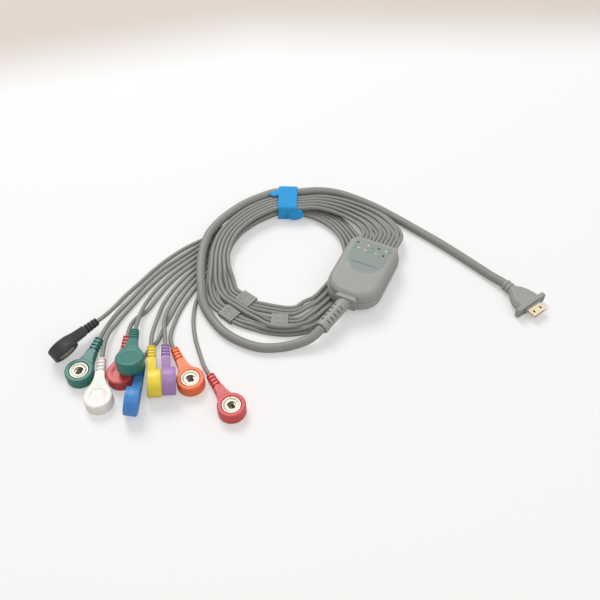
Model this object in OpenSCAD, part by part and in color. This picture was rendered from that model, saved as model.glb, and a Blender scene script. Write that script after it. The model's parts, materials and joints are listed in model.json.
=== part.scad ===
// Ten-lead patient cable for a wearable heart recorder, coiled and held by a hook-and-loop tie.
// Units are millimetres and +Z is up. The table is the plane z = 0.

/* [Junction box] */
// Width of the box over its base
box_w = 34; // [28:0.5:42]
// Length of the box over its base
box_l = 50; // [44:0.5:60]
// Height of the box
box_t = 12.5; // [11:0.5:16]
// Height of the seam between the two shells
seam_z = 6.6; // [4:0.2:8]
// Wall thickness of the shells
wall = 1.6; // [1.2:0.1:2.2]
// Step in of the upper shell at the seam
seam_step = 0.4; // [0.2:0.1:0.8]
// Width of the bevel round the top face
bevel_w = 2.2; // [1:0.2:4]
// Height of the bevel round the top face
bevel_h = 2; // [1:0.2:3]
// Corner radius at the end where the leads leave
far_r = 7; // [4.5:0.5:8]
// Corner radius at the end of the trunk cable
near_r = 14; // [8:0.5:16]
// Height of the box above the table, on top of the leads
box_lift = 4.4; // [0:0.1:8]

/* [Strain relief boot] */
// Length of the boot from the inside of the box
boot_l = 26; // [18:1:36]
// Diameter of the boot at the box
boot_d1 = 8.5; // [7.5:0.1:10]
// Diameter of the boot at its free end
boot_d2 = 8.1; // [6.8:0.1:9]
// Number of slots on each side of the boot
boot_slots = 5; // [3:1:7]
// Distance between two slots of the boot
slot_pitch = 3.05; // [2.4:0.05:3.4]
// Width of a slot of the boot
slot_w = 0.9; // [0.6:0.1:1.4]

/* [Cords] */
// Diameter of a lead
lead_d = 2.5; // [2:0.1:2.6]
// Diameter of the trunk cable
trunk_d = 5.6; // [4:0.1:6]
// Distance between two leads where they leave the box
exit_pitch = 2.55; // [2.5:0.05:3]

/* [Snap connectors] */
// Diameter of the disc
snap_d = 15.8; // [15:0.2:20]
// Thickness of the disc
snap_t = 7.6; // [7:0.1:9]
// Thickness of the neck plate
neck_t = 5.2; // [4.6:0.1:6]
// Width of the neck
neck_w = 5.4; // [5:0.2:8]
// Distance from the disc centre to the end of the tail
tail_y = 25.8; // [25:0.2:32]
// Length of the grooved tail
relief_l = 9.8; // [8:0.2:12]
// Diameter of the metal socket
socket_d = 10.4; // [10:0.2:12.6]
// Diameter of the hole that takes the electrode stud
stud_hole_d = 5; // [4.6:0.1:5.4]

/* [Plug] */
// Width of the metal shell
shell_w = 10.42; // [10:0.02:11]
// Height of the metal shell
shell_h = 2.42; // [2:0.02:3]
// Length of the shell in front of the flange
shell_l = 6.8; // [6:0.1:8]
// Width over the two ears of the flange
flange_w = 23.2; // [20:0.2:26]
// Height of the flange
flange_h = 7.6; // [7:0.1:9]
// Width of the moulded grip behind the flange
grip_w = 17.8; // [16:0.2:19]
// Diameter of the grip's neck
neck_d = 7; // [6.8:0.1:8]
// Length of the moulded body with its flange
grip_l = 21.8; // [18:0.2:26]

/* [Lead dividers] */
// Length of a divider along the leads
div_l = 10; // [8:0.5:12]
// Width of a divider
div_w = 9.3; // [9:0.1:10]
// Height of a divider
div_t = 4.1; // [4:0.1:5]

/* [Cable tie] */
// Width of the strap
tie_w = 12.5; // [8:0.5:16]
// Thickness of the strap
tie_t = 1.1; // [0.8:0.1:1.4]

/* [Hidden] */
$fn = 64;
mid_x = 6.3;
mid_y = 31;
grey = [0.65, 0.66, 0.65];
cord_grey = [0.61, 0.61, 0.58];
dark = [0.2, 0.2, 0.21];
silver = [0.8, 0.8, 0.79];
gold = [0.9, 0.78, 0.55];
lead_colour = [
    [0.85, 0.33, 0.35], [1, 0.5, 0.27], [0.24, 0.48, 0.78], [0.7, 0.54, 0.78], [0.98, 0.85, 0.23],
    [0.85, 0.33, 0.35], [0.25, 0.62, 0.56], [0.95, 0.94, 0.92], [0.25, 0.54, 0.47], [0.2, 0.21, 0.22]
];

function rot_x(a, v) = [v.x, v.y * cos(a) - v.z * sin(a), v.y * sin(a) + v.z * cos(a)];
function rot_y(a, v) = [v.x * cos(a) + v.z * sin(a), v.y, v.z * cos(a) - v.x * sin(a)];
function rot_z(a, v) = [v.x * cos(a) - v.y * sin(a), v.x * sin(a) + v.y * cos(a), v.z];
function unit(v) = v / norm(v);
function odd(k) = k % 2 == 1;

// ---- placing: every part is laid out on the table, then the whole is centred
module lay() translate([-mid_x, -mid_y, 0]) children();

yoke_c = [38, 13, box_lift];
yoke_turn = 25;
function yoke_pt(v) = yoke_c + rot_z(-yoke_turn, v);
module at_yoke() lay() translate(yoke_c) rotate([0, 0, -yoke_turn]) children();

boot_c = [0, -box_l / 2 + 2, box_t / 2];
boot_turn = 13;
boot_dip = 5.7;
function boot_pt(v) = yoke_pt(boot_c + rot_z(-boot_turn, rot_x(boot_dip, v)));
module at_boot() at_yoke() translate(boot_c) rotate([0, 0, -boot_turn]) rotate([boot_dip, 0, 0]) children();

plug_c = [139.6, -8.2, 3.9];
plug_turn = -143.5;
function plug_pt(v) = plug_c + rot_z(plug_turn, v);
module at_plug() lay() translate(plug_c) rotate([0, 0, plug_turn]) children();

// ---- the ring: a point at an angle, a distance along, a radius and a height
ring_c = [-9, 32, 0];
function ring_pt(angle, along, r, z) =
    ring_c + r * [cos(angle), sin(angle), 0] + along * [-sin(angle), cos(angle), 0] + [0, 0, z];
// leads lie in two layers: even ones ride high and odd ones low
function weave(st, k) = ring_pt(st[0], st[1], st[2] + st[3] * k, st[4] + (odd(k) ? 0 : st[5]));

// stations are [angle, along, radius of the first lead, step to the next, low height, rise of the high ones]
tie_angle = 89;
fan_out = [[25, 0, 54, 2.35, 6.4, 1.2], [39, 0, 52, 2, 5.7, 1.65], [52, 0, 48.6, 1.72, 6.3, 1.95],
    [66, 0, 44.9, 1.48, 6.8, 2.15]];
upper_tie = [for (s = [-7, 0, 7]) [tie_angle, s, 40.2, 1.28, 6.85, 2.2]];
upper_turn = [[109, 0, 39.4, 1.27, 6.6, 2.2], [121, 0, 38.2, 1.27, 6.3, 2.2], [133, 0, 37.2, 1.27, 6, 2.2],
    [146, 0, 36.7, 1.27, 5.8, 2.2], [160, 0, 36.5, 1.27, 5.3, 2.2], [173, 0, 36.5, 1.27, 4.3, 2.2],
    [186, 0, 36.6, 1.29, 3.95, 2.2], [197, 0, 36.7, 1.5, 3.85, 2.15]];
lower_turn = [[298, 0, 36.6, 2.07, 1.35, 1.5], [312, 0, 34.2, 2.07, 1.35, 1.5], [327, 0, 33.2, 2.07, 1.35, 1.5],
    [343, 0, 34.6, 2, 1.35, 1.55], [358, 0, 36.8, 1.9, 1.35, 1.65], [13, 0, 38.6, 1.55, 1.35, 2],
    [28, 0, 39.8, 1.3, 1.35, 2.2], [43, 0, 40.7, 1.27, 1.35, 2.2], [58, 0, 41.2, 1.27, 1.6, 2.2],
    [70, 0, 41.2, 1.27, 2.1, 2.2]];
lower_tie = [for (s = [-7, 0, 7]) [tie_angle, s, 40.2, 1.28, 2.4, 2.2]];
lower_left = [[109, 0, 39.4, 1.27, 1.9, 2.2], [121, 0, 38.2, 1.27, 1.5, 2.2], [133, 0, 37.3, 1.32, 1.35, 2.2],
    [146, 0, 37, 1.66, 1.35, 1.98], [160, 0, 37.2, 2.15, 1.35, 1.48]];

// dividers are [angle, radius, turn of the heading]
div_1 = [266.5, 50.3, 0];
div_2 = [235, 41.4, -4];
div_3 = [233.5, 55.95, -4];
div_pitch = 2.6;
function div_pt(d, along, out, z) =
    ring_pt(d[0], 0, d[1], z) + rot_z(d[0] + d[2], [out, along, 0]);
module at_div(d) lay() translate(ring_pt(d[0], 0, d[1], 0)) rotate([0, 0, d[0] + d[2]]) children();

// radius and height of each lead where the bundle splits for the dividers and joins again
split_r = [37.2, 39.7, 42.2, 44.6, 45.8, 47.4, 48.5, 50.8, 53, 55.5];
split_z = [3.9, 2.6, 3.9, 2.2, 4.55, 2.2, 4.6, 2.5, 3.95, 2.5];
mid_r = [38.6, 41.2, 43.8, 47.2, 49, 51.6, 52.8, 55, 57, 58.9];
mid_z = [1.6, 1.6, 1.6, 1.35, 3.35, 1.9, 4.7, 1.5, 3.4, 1.5];
join_r = [37.3, 39.9, 42.4, 45.7, 48.2, 50.7, 52.9, 54.9, 56.8, 58.6];
join_z = [2.6, 1.35, 2.6, 1.35, 2.8, 1.35, 3.4, 1.35, 3.3, 1.35];
beside = [[6, 5.9], [6, 1.35], [7.4, 3.5], [8.8, 1.35]];
function divided(k) = concat(
    [ring_pt(209, 0, split_r[k], split_z[k])],
    k < 3 ? [for (s = [-11, -5, 0, 6]) div_pt(div_2, s, (k - 1) * div_pitch, div_t / 2)]
    : k < 7 ? [for (s = [-11, -5, 0, 6]) div_pt(div_2, s, 6.02 + 2.54 * floor((k - 3) / 2), odd(k) ? 1.3 : 3.84)]
    : [for (s = [-11, -5, 0, 6]) div_pt(div_3, s, (k - 8) * div_pitch, div_t / 2)],
    [ring_pt(252, 0, mid_r[k], mid_z[k])],
    k < 3 ? [for (s = [-5, 9]) div_pt(div_1, s, 2.6 * k - 12.1, 1.4)]
    : k < 6 ? [for (s = [-6, 0, 6, 10]) div_pt(div_1, s, (k - 4) * div_pitch, div_t / 2)]
    : [for (s = [-6, 9]) div_pt(div_1, s, beside[k - 6][0], beside[k - 6][1])],
    [ring_pt(288, 0, join_r[k], join_z[k])]);

// free tails from the bundle to the snap connectors, point by point
tails = [
    [[-46.6, 37.3, 1.35], [-53.2, 24, 1.35], [-59.5, 10.5, 1.35], [-63.3, -3, 1.35], [-63.7, -16, 1.35],
        [-61.7, -29, 1.35], [-58, -41, 1.35]],
    [[-49.4, 37.7, 1.35], [-61, 15, 1.35], [-66.8, 4, 1.35], [-71, -6, 1.35], [-74, -16, 1.35]],
    [[-52.2, 38.1, 1.35], [-63, 18.6, 1.35], [-69.2, 7.8, 1.35], [-73.8, -2.5, 1.35], [-77, -12, 1.35],
        [-80.3, -22, 1.35], [-82.5, -32, 2]],
    [[-55, 38.5, 1.35], [-64.8, 21.7, 1.35], [-71.3, 11.3, 1.35], [-76.5, 0.5, 1.5], [-79.3, -10, 2.8],
        [-80.3, -19, 4.1]],
    [[-57.7, 38.8, 1.35], [-65.5, 26.4, 1.35], [-72.8, 16.2, 1.35], [-79, 5.5, 1.35], [-83, -5, 1.9],
        [-84.6, -16, 3.4]],
    [[-60.5, 39.2, 1.35], [-66, 30.8, 1.35], [-75, 20.5, 1.35], [-82.3, 10, 1.35], [-87.8, -1, 1.35],
        [-92.6, -10.5, 1.5], [-98, -17.5, 2.9]],
    [[-66.7, 35, 1.35], [-76, 25, 1.35], [-84.5, 14, 1.35], [-90.7, 2.5, 2.1], [-94, -9, 4.1],
        [-95.4, -17.5, 5]],
    [[-67.2, 39.5, 1.35], [-77, 29.6, 1.35], [-86.5, 18.8, 1.35], [-94.5, 7.2, 1.35], [-102, -6, 1.35],
        [-108.6, -19, 1.8], [-112, -29.5, 4]],
    [[-66.8, 44, 1.35], [-77.5, 34, 1.35], [-88, 23, 1.35], [-96.5, 11, 1.35], [-104, -2, 1.35],
        [-110.5, -13, 1.5]],
    [[-71.5, 45, 1.35], [-82, 35.5, 1.35], [-91.5, 24.5, 1.35], [-99.5, 13, 1.35], [-107.2, 2, 1.4]]
];
// snap connectors: [x, y, z] of the disc centre, heading of the tail, dip of the tail, roll about the tail
snaps = [
    [[-36.9, -79.6, 3.8], 121.9, 0, 0],
    [[-60.7, -62.4, 3.8], 117.2, 0, 0],
    [[-90.4, -78.2, 8.4], 90, 7, -80],
    [[-72.1, -64.9, 8.2], 98.7, 5, 97],
    [[-79.9, -66.4, 8.2], 98.6, 4, 97],
    [[-100, -58.4, 3.8], 90, 0, 180],
    [[-93.5, -56.2, 14.3], 94, 15, 180],
    [[-109.9, -74, 3.8], 95, 0, 180],
    [[-123.3, -57.1, 3.8], 75.5, 0, 0],
    [[-134.4, -43.3, 8.6], 51.9, 5, 115]
];
function snap_pt(k, v) =
    snaps[k][0] + rot_z(snaps[k][1] - 90, rot_x(-snaps[k][2], rot_y(snaps[k][3], v)));
module at_snap(k)
    lay() translate(snaps[k][0]) rotate([0, 0, snaps[k][1] - 90]) rotate([-snaps[k][2], 0, 0])
        rotate([0, snaps[k][3], 0]) children();
wire_z = -snap_t / 2 + neck_t / 2;
wire_in = 2;

exit_z = 5.6;
function exit_x(k) = (k - 4.5) * exit_pitch;
function lead_route(k) = concat(
    [yoke_pt([exit_x(k), box_l / 2 - 0.5, exit_z]), yoke_pt([exit_x(k), box_l / 2 + 1.5, exit_z]),
        yoke_pt([exit_x(k), box_l / 2 + 6, exit_z - 0.2])],
    k > 2 ? [yoke_pt([exit_x(k) - 0.25 - 0.06 * k, box_l / 2 + 8.5 + 0.95 * k, exit_z - (odd(k) ? 2 : 1.2)])] : [],
    [for (st = fan_out) weave(st, k)], [for (st = upper_tie) weave(st, k)], [for (st = upper_turn) weave(st, k)],
    divided(k),
    [for (st = lower_turn) weave(st, k)], [for (st = lower_tie) weave(st, k)],
    [for (st = lower_left) weave(st, k)],
    tails[k],
    [snap_pt(k, [0, tail_y + 5, wire_z]), snap_pt(k, [0, tail_y - wire_in, wire_z])]);

trunk_ring = [[207, 57.8, 5.6], [194, 54.6, 5.7], [182, 53.4, 5.7], [170, 53.2, 6.1], [158, 53.1, 7.1],
    [146, 52.7, 7.3], [134, 52.6, 7.7], [122, 53.3, 8.1], [110, 54.4, 8.5]];
trunk_route = concat(
    [boot_pt([0, -boot_l + 2, 0]), boot_pt([0, -boot_l, 0])],
    [[6.5, -33.2, 5.6], [-2, -36.3, 3.8], [-12, -38.2, 2.9], [-22.5, -38.3, 2.85], [-33.5, -34.5, 2.85],
        [-44, -27.5, 2.85], [-52.5, -17, 2.9], [-59, -4.5, 4.6]],
    [for (p = trunk_ring) ring_pt(p[0], 0, p[1], p[2])],
    [for (s = [7.5, 0, -7.5]) ring_pt(tie_angle, s, 56.4, 8.5)],
    [[3.5, 89.3, 8.2], [13, 90.9, 7.4], [25.5, 89.8, 6.4], [38.5, 85.2, 5], [51.5, 78.2, 3.8], [64, 69, 3],
        [77, 57.8, 2.85], [89.5, 46.8, 2.85], [101, 35.8, 2.85], [112, 24.6, 2.9], [119.5, 16.6, 3.3]],
    [plug_pt([0, -grip_l, 0]), plug_pt([0, -grip_l + 1.5, 0])]);

// ---- a smooth curve through the route's points, then a tube along the curve
function slope(p, i) = (p[i + 1] - p[i]) / norm(p[i + 1] - p[i]);
function level(a, b) = a * b <= 0 ? 0 : 2 * a * b / (a + b);
function tangent(p, i) =
    i == 0 ? slope(p, 0)
    : i == len(p) - 1 ? slope(p, i - 1)
    : let (a = slope(p, i - 1), b = slope(p, i), da = norm(p[i] - p[i - 1]), db = norm(p[i + 1] - p[i]),
        m = (a * db + b * da) / (da + db))
        [m.x, m.y, level(a.z, b.z)];
function between(p, i, u) =
    let (d = norm(p[i + 1] - p[i]))
    (2 * pow(u, 3) - 3 * u * u + 1) * p[i] + (pow(u, 3) - 2 * u * u + u) * d * tangent(p, i)
    + (3 * u * u - 2 * pow(u, 3)) * p[i + 1] + (pow(u, 3) - u * u) * d * tangent(p, i + 1);
function curve(p, step) = concat(
    [for (i = [0:len(p) - 2]) let (n = max(1, round(norm(p[i + 1] - p[i]) / step)))
        for (j = [0:n - 1]) between(p, i, j / n)],
    [p[len(p) - 1]]);
function heading(c, i) = unit(c[min(i + 1, len(c) - 1)] - c[max(i - 1, 0)]);
module tube(route, d, sides, step) {
    c = curve(route, step);
    n = len(c);
    points = [for (i = [0:n - 1]) let (t = heading(c, i), side = unit([-t.y, t.x, 0]), up = cross(t, side))
        for (j = [0:sides - 1]) let (a = (j + 0.5) * 360 / sides)
            c[i] + d / 2 * (cos(a) * side + sin(a) * up)];
    faces = concat(
        [[for (j = [sides - 1:-1:0]) j]],
        [for (i = [0:n - 2]) for (j = [0:sides - 1]) let (a = i * sides + j, b = i * sides + (j + 1) % sides)
            each [[a, b, b + sides], [a, b + sides, a + sides]]],
        [[for (j = [0:sides - 1]) (n - 1) * sides + j]]);
    lay() polyhedron(points, faces);
}

// ---- a taut band round circles [x, y, r] taken counter-clockwise, grown by g
function taut_normal(a, b) =
    let (d = norm([b.x - a.x, b.y - a.y]))
    atan2(b.y - a.y, b.x - a.x) - 90 + asin((a.z - b.z) / d);
module taut(c, g) {
    n = len(c);
    for (p = c) translate([p.x, p.y]) circle(r = p.z + g);
    polygon([for (i = [0:n - 1]) let (a = c[i], b = c[(i + 1) % n], w = taut_normal(a, b))
        each [[a.x, a.y] + (a.z + g) * [cos(w), sin(w)], [b.x, b.y] + (b.z + g) * [cos(w), sin(w)]]]);
}

// ---- a rounded block whose sides lean in by `lean` over its height h
module slab(w, l, rf, rn, h, lean) {
    translate([0, l / 2 - rf, 0]) rotate([90, 0, 0]) linear_extrude(l - rf - rn)
        polygon([[-w / 2, 0], [w / 2, 0], [w / 2 - lean, h], [-w / 2 + lean, h]]);
    translate([-w / 2 + rf, 0, 0]) rotate([90, 0, 90]) linear_extrude(w - 2 * rf)
        polygon([[0, 0], [l / 2, 0], [l / 2 - lean, h], [0, h]]);
    translate([-w / 2 + rn, 0, 0]) rotate([90, 0, 90]) linear_extrude(w - 2 * rn)
        polygon([[0, 0], [0, h], [-l / 2 + lean, h], [-l / 2, 0]]);
    for (s = [-1, 1]) {
        translate([s * (w / 2 - rf), l / 2 - rf, 0]) cylinder(r1 = rf, r2 = rf - lean, h = h);
        translate([s * (w / 2 - rn), -l / 2 + rn, 0]) cylinder(r1 = rn, r2 = rn - lean, h = h);
    }
}
// the same block, smaller by `in` on every side
module inner_slab(in, h, lean) slab(box_w - 2 * in, box_l - 2 * in, far_r - in, near_r - in, h, lean);

draft = 0.5;
comb_w = 27.4;
comb_h = 5;
window_w = 10.6;
window_h = 8.8;
plate_round = [[-5.4, -3.3, 1.4], [5.4, -3.3, 1.4], [5.4, 3.3, 1.4], [-5.4, 3.3, 1.4]];
label_w = 24.4;
label_y = 8.4;
label_t = 0.3;

module comb_gap() translate([-comb_w / 2, box_l / 2 - 6, exit_z - comb_h / 2]) cube([comb_w, 8, comb_h]);
module boot_gap()
    translate([-window_w / 2, -box_l / 2 - 1, box_t / 2 - window_h / 2]) cube([window_w, 5, window_h]);
module label_shape(h) {
    linear_extrude(h) intersection() {
        circle(d = label_w);
        translate([-label_w, -label_w]) square([2 * label_w, label_w]);
    }
    translate([-label_w / 2, 0, 0]) cube([label_w, box_l / 2 - label_y - 4.4, h]);
}

module housing_bottom() {
    color(grey) at_yoke() difference() {
        union() {
            inner_slab(0.8, 0.8, 0);
            translate([0, 0, 0.8]) inner_slab(0, seam_z - 0.8, 0);
        }
        translate([0, 0, wall]) inner_slab(wall, seam_z, 0);
        comb_gap();
        boot_gap();
    }
    color(grey) at_yoke() for (x = [-9, 9], y = [-10, 13])
        translate([x, y, wall]) difference() {
            cylinder(d = 4, h = 1.6);
            translate([0, 0, 0.4]) cylinder(d = 1.6, h = 2);
        }
}

module housing_top() {
    side_h = box_t - seam_z - bevel_h;
    color(grey) at_yoke() difference() {
        union() {
            translate([0, 0, seam_z]) inner_slab(seam_step, side_h, draft);
            translate([0, 0, seam_z + side_h]) inner_slab(seam_step + draft, bevel_h, bevel_w);
        }
        translate([0, 0, seam_z - 1]) inner_slab(wall + 0.6, side_h + 0.6, 0);
        translate([0, 0, seam_z - 0.4 + side_h]) inner_slab(wall + 0.6, bevel_h - 1.1, 1.8);
        comb_gap();
        boot_gap();
        translate([0, label_y, box_t - label_t]) label_shape(1);
    }
}

module label_panel()
    color([0.58, 0.63, 0.6]) at_yoke() translate([0, label_y, box_t - label_t]) label_shape(label_t);

board_z = wall + 1.6;
module circuit_board() {
    color([0.15, 0.4, 0.25]) at_yoke() difference() {
        translate([-12.5, -14, board_z]) cube([25, 31, 1]);
        for (x = [-9, 9], y = [-10, 13]) translate([x, y, board_z - 1]) cylinder(d = 1.6, h = 3);
        for (k = [0:9]) translate([exit_x(k), 15.4, board_z - 1]) cylinder(d = 0.9, h = 3);
    }
}

module protection_resistors() {
    color([0.75, 0.66, 0.5]) at_yoke() for (k = [0:9]) translate([exit_x(k), 8.4, board_z + 2.1])
        rotate([90, 0, 0]) {
            translate([0, 0, -2.8]) cylinder(d = 2.2, h = 1.4);
            translate([0, 0, -1.4]) cylinder(d = 1.9, h = 2.8);
            translate([0, 0, 1.4]) cylinder(d = 2.2, h = 1.4);
        }
}

module lead_grommet() {
    front = box_l / 2 + 1.5;
    color(dark) at_yoke() difference() {
        union() {
            translate([-comb_w / 2, box_l / 2 - 3, exit_z - comb_h / 2]) cube([comb_w, front - box_l / 2 + 3, comb_h]);
        }
        for (k = [0:9]) translate([exit_x(k), front - 2, exit_z]) rotate([-90, 0, 0])
            cylinder(d = lead_d, h = 3);
        for (k = [0:8]) translate([exit_x(k) + exit_pitch / 2, front - 0.8, exit_z - comb_h])
            translate([-0.15, 0, 0]) cube([0.3, 1, 2 * comb_h]);
    }
}

module trunk_boot() {
    color(grey) {
        at_yoke() translate([0, -box_l / 2, box_t / 2]) {
            translate([-window_w / 2, 0, -window_h / 2]) cube([window_w, 2.6, window_h]);
            rotate([90, 0, 0]) linear_extrude(1.7) taut(plate_round, 0);
        }
        at_boot() difference() {
            rotate([90, 0, 0]) union() {
                cylinder(d1 = boot_d1, d2 = boot_d2, h = boot_l - 2.6);
                translate([0, 0, boot_l - 2.6]) cylinder(d = boot_d2 + 0.4, h = 2.2);
                translate([0, 0, boot_l - 0.4]) cylinder(d1 = boot_d2 + 0.4, d2 = boot_d2 - 0.4, h = 0.4);
            }
            translate([0, -boot_l - 1, 0]) rotate([-90, 0, 0]) cylinder(d = trunk_d + 0.1, h = 3);
            translate([0, -boot_l - 1, 0]) rotate([-90, 0, 0]) cylinder(d = trunk_d + 1, h = 1.5);
            for (i = [0:boot_slots - 1]) translate([0, -boot_l + 4.3 + i * slot_pitch, 0])
                difference() {
                    for (s = [-1, 1], u = [-1, 1]) translate([s * 4.15 - 3, -slot_w / 2, u * 4.6 - 3])
                        cube([6, slot_w, 6]);
                    translate([0, -1, 0]) rotate([-90, 0, 0]) cylinder(d = trunk_d + 0.2, h = 2);
                }
        }
    }
}

module trunk_cable() color(cord_grey) tube(trunk_route, trunk_d, 12, 9);

// ---- plug: +Y points out of the shell, the front face of the flange is y = 0
// half of the grip's plan, from the neck to the flange
grip_side = [[neck_d / 2 - 0.2, -16.4], [neck_d / 2 + 0.3, -15], [grip_w * 0.29, -13.2], [grip_w * 0.38, -11],
    [grip_w * 0.45, -8.6], [grip_w * 0.485, -6.2], [grip_w / 2, -4]];
module grip_outline() polygon(concat(
    [for (p = grip_side) p], [[grip_w / 2, -1], [-grip_w / 2, -1]],
    [for (i = [len(grip_side) - 1:-1:0]) [-grip_side[i].x, grip_side[i].y]]));
module plug_overmould() {
    flat = flange_h / 2;
    edge = flange_w / 2 - 2;
    color(grey) at_plug() difference() {
        union() {
            rotate([90, 0, 0]) linear_extrude(2.8)
                taut([[-edge, -1.2, 2], [-5.4, -flat + 1.4, 1.4], [5.4, -flat + 1.4, 1.4], [edge, -1.2, 2],
                    [edge, 1.2, 2], [5.4, flat - 1.4, 1.4], [-5.4, flat - 1.4, 1.4], [-edge, 1.2, 2]], 0);
            translate([0, 0, -1.1]) linear_extrude(2.2) grip_outline();
            for (u = [0, 180]) rotate([0, u, 0]) translate([0, 0, 1.1])
                linear_extrude(2.5, scale = [0.7, 1], slices = 1) grip_outline();
            translate([0, -15, 0]) rotate([90, 0, 0]) cylinder(d = neck_d, h = grip_l - 15);
            translate([-6.1, 0, -2.2]) cube([12.2, 0.8, 4.4]);
        }
        for (s = [-1, 1]) translate([s * (flange_w / 2 - 2.5), 0.01, 0]) rotate([90, 0, 0])
            cylinder(d = 2.6, h = 0.8);
        for (y = [-17.5, -20.1]) difference() {
            translate([-8, y, -6]) cube([16, 0.8, 12]);
            translate([0, y - 1, 0]) rotate([-90, 0, 0]) cylinder(d = neck_d - 0.9, h = 3);
        }
        translate([0, -grip_l - 1, 0]) rotate([-90, 0, 0]) cylinder(d = trunk_d + 0.1, h = 2.5);
        translate([-shell_w / 2, -2, -shell_h / 2]) cube([shell_w, 4, shell_h]);
    }
}
module shell_outline(in) {
    w = shell_w / 2 - in;
    h = shell_h / 2 - in;
    polygon([[-w, h], [w, h], [w, -h + 0.85], [w - 0.85, -h], [-w + 0.85, -h], [-w, -h + 0.85]]);
}
module plug_shell() {
    color(gold) at_plug() difference() {
        translate([0, shell_l, 0]) rotate([90, 0, 0]) linear_extrude(shell_l + 2) shell_outline(0);
        translate([0, shell_l + 1, 0]) rotate([90, 0, 0]) linear_extrude(shell_l + 2.7) shell_outline(0.28);
        for (s = [-1, 1]) translate([s * 2.7 - 0.6, 3.2, 0.6]) cube([1.2, 1.7, 2]);
    }
}
module plug_tongue() {
    color(dark) at_plug() {
        translate([-4.2, -1.7, -0.2]) cube([8.4, shell_l + 0.9, 0.75]);
        translate([-4.2, -1.7, -0.6]) cube([8.4, 2.2, 0.4]);
    }
}
module plug_contacts() {
    color(gold) at_plug() {
        for (k = [0:8]) translate([(k - 4) * 0.8 - 0.15, 0.8, 0.55]) cube([0.3, shell_l - 2.2, 0.1]);
        for (k = [0:9]) translate([(k - 4.5) * 0.8 - 0.15, 0.8, -0.3]) cube([0.3, shell_l - 2.2, 0.1]);
    }
}

// ---- leads, rank 0 is the innermost
module lead(k) color(cord_grey) tube(lead_route(k), lead_d, 8, 8.5);

// ---- snap connector: the tail points along +Y, the socket opens along +Z
flare_r = 18;
module neck_shape() {
    r = snap_d / 2;
    cx = neck_w / 2 + flare_r;
    cy = sqrt(pow(r + flare_r, 2) - cx * cx);
    difference() {
        polygon([[0, 0], [r * cx / (r + flare_r), r * cy / (r + flare_r)], [neck_w / 2 + 0.5, cy],
            [neck_w / 2, cy], [neck_w / 2, tail_y - relief_l],
            [-neck_w / 2, tail_y - relief_l], [-neck_w / 2, cy], [-neck_w / 2 - 0.5, cy],
            [-r * cx / (r + flare_r), r * cy / (r + flare_r)]]);
        for (s = [-1, 1]) translate([s * cx, cy]) circle(r = flare_r);
    }
}
edge_r = 0.9;
cup_d = 7.8;
cup_z = -1.6;
rim_z = snap_t / 2 - 0.15;
module snap_body(k, c) {
    start = tail_y - relief_l;
    color(c) at_snap(k) difference() {
        union() {
            rotate_extrude() {
                translate([0, -snap_t / 2]) square([snap_d / 2 - edge_r, snap_t]);
                translate([0, -snap_t / 2 + edge_r]) square([snap_d / 2, snap_t - 2 * edge_r]);
                for (s = [-1, 1]) translate([snap_d / 2 - edge_r, s * (snap_t / 2 - edge_r)]) circle(r = edge_r);
            }
            translate([0, 0, -snap_t / 2]) linear_extrude(neck_t) neck_shape();
            translate([0, 0, wire_z - neck_t / 2]) linear_extrude(neck_t)
                polygon([[-neck_w / 2, start - 0.5], [neck_w / 2, start - 0.5], [2.3, tail_y], [-2.3, tail_y]]);
        }
        for (i = [0:3]) translate([0, start + 0.9 + 2.35 * i, wire_z]) difference() {
            translate([-5, 0, -5]) cube([10, 1, 10]);
            translate([-1.75, -1, -1.8]) cube([3.5, 3, 3.6]);
        }
        translate([0, 0, snap_t / 2 - 1.15]) cylinder(d = socket_d + 0.2, h = 2);
        translate([0, 0, cup_z]) cylinder(d = cup_d, h = 6);
        translate([0, 0, -snap_t / 2 - 1]) cylinder(d = 9.5, h = 1.35);
        translate([0, tail_y - wire_in, wire_z]) rotate([-90, 0, 0]) cylinder(d = lead_d, h = wire_in + 1);
    }
}
module snap_socket(k) {
    h = stud_hole_d / 2;
    r = socket_d / 2;
    color(silver) at_snap(k) rotate_extrude()
        polygon([[0, cup_z], [cup_d / 2, cup_z], [cup_d / 2, rim_z - 1], [r, rim_z - 0.7], [r, rim_z],
            [r - 0.5, rim_z], [h + 0.4, rim_z - 0.6], [h, rim_z - 0.6], [h, rim_z - 1.5], [h + 0.4, rim_z - 1.5],
            [h + 0.4, rim_z - 1.1], [cup_d / 2 - 0.4, rim_z - 1.1], [cup_d / 2 - 0.4, cup_z + 0.4],
            [0, cup_z + 0.4]]);
}
module snap_spring(k) {
    color(silver) at_snap(k) translate([0, 0, rim_z - 1.82]) {
        for (s = [-1, 1]) translate([s * 1.95, -2.5, 0]) rotate([-90, 0, 0]) cylinder(r = 0.3, h = 3.6);
        translate([0, 1.1, 0]) rotate_extrude(angle = 180) translate([1.95, 0]) circle(r = 0.3);
    }
}

// ---- sliding dividers: the leads run along Y through one flat slot
module lead_divider(d) {
    r = 0.8;
    color(grey) at_div(d) difference() {
        translate([0, div_l / 2, 0]) rotate([90, 0, 0]) linear_extrude(div_l) {
            translate([-div_w / 2 + r, 0]) square([div_w - 2 * r, div_t]);
            translate([-div_w / 2, r]) square([div_w, div_t - 2 * r]);
            for (x = [-1, 1], z = [r, div_t - r]) translate([x * (div_w / 2 - r), z]) circle(r = r);
        }
        translate([0, div_l / 2 + 1, div_t / 2]) rotate([90, 0, 0]) linear_extrude(div_l + 2) {
            for (i = [-1:1]) translate([i * div_pitch, 0]) circle(r = lead_d / 2 + 0.15);
            translate([-div_pitch, -0.9]) square([2 * div_pitch, 1.8]);
        }
        for (i = [-3:3]) translate([-div_w, i * 1.25 - 0.2, div_t - 0.2]) cube([2 * div_w, 0.4, 1]);
    }
}

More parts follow.
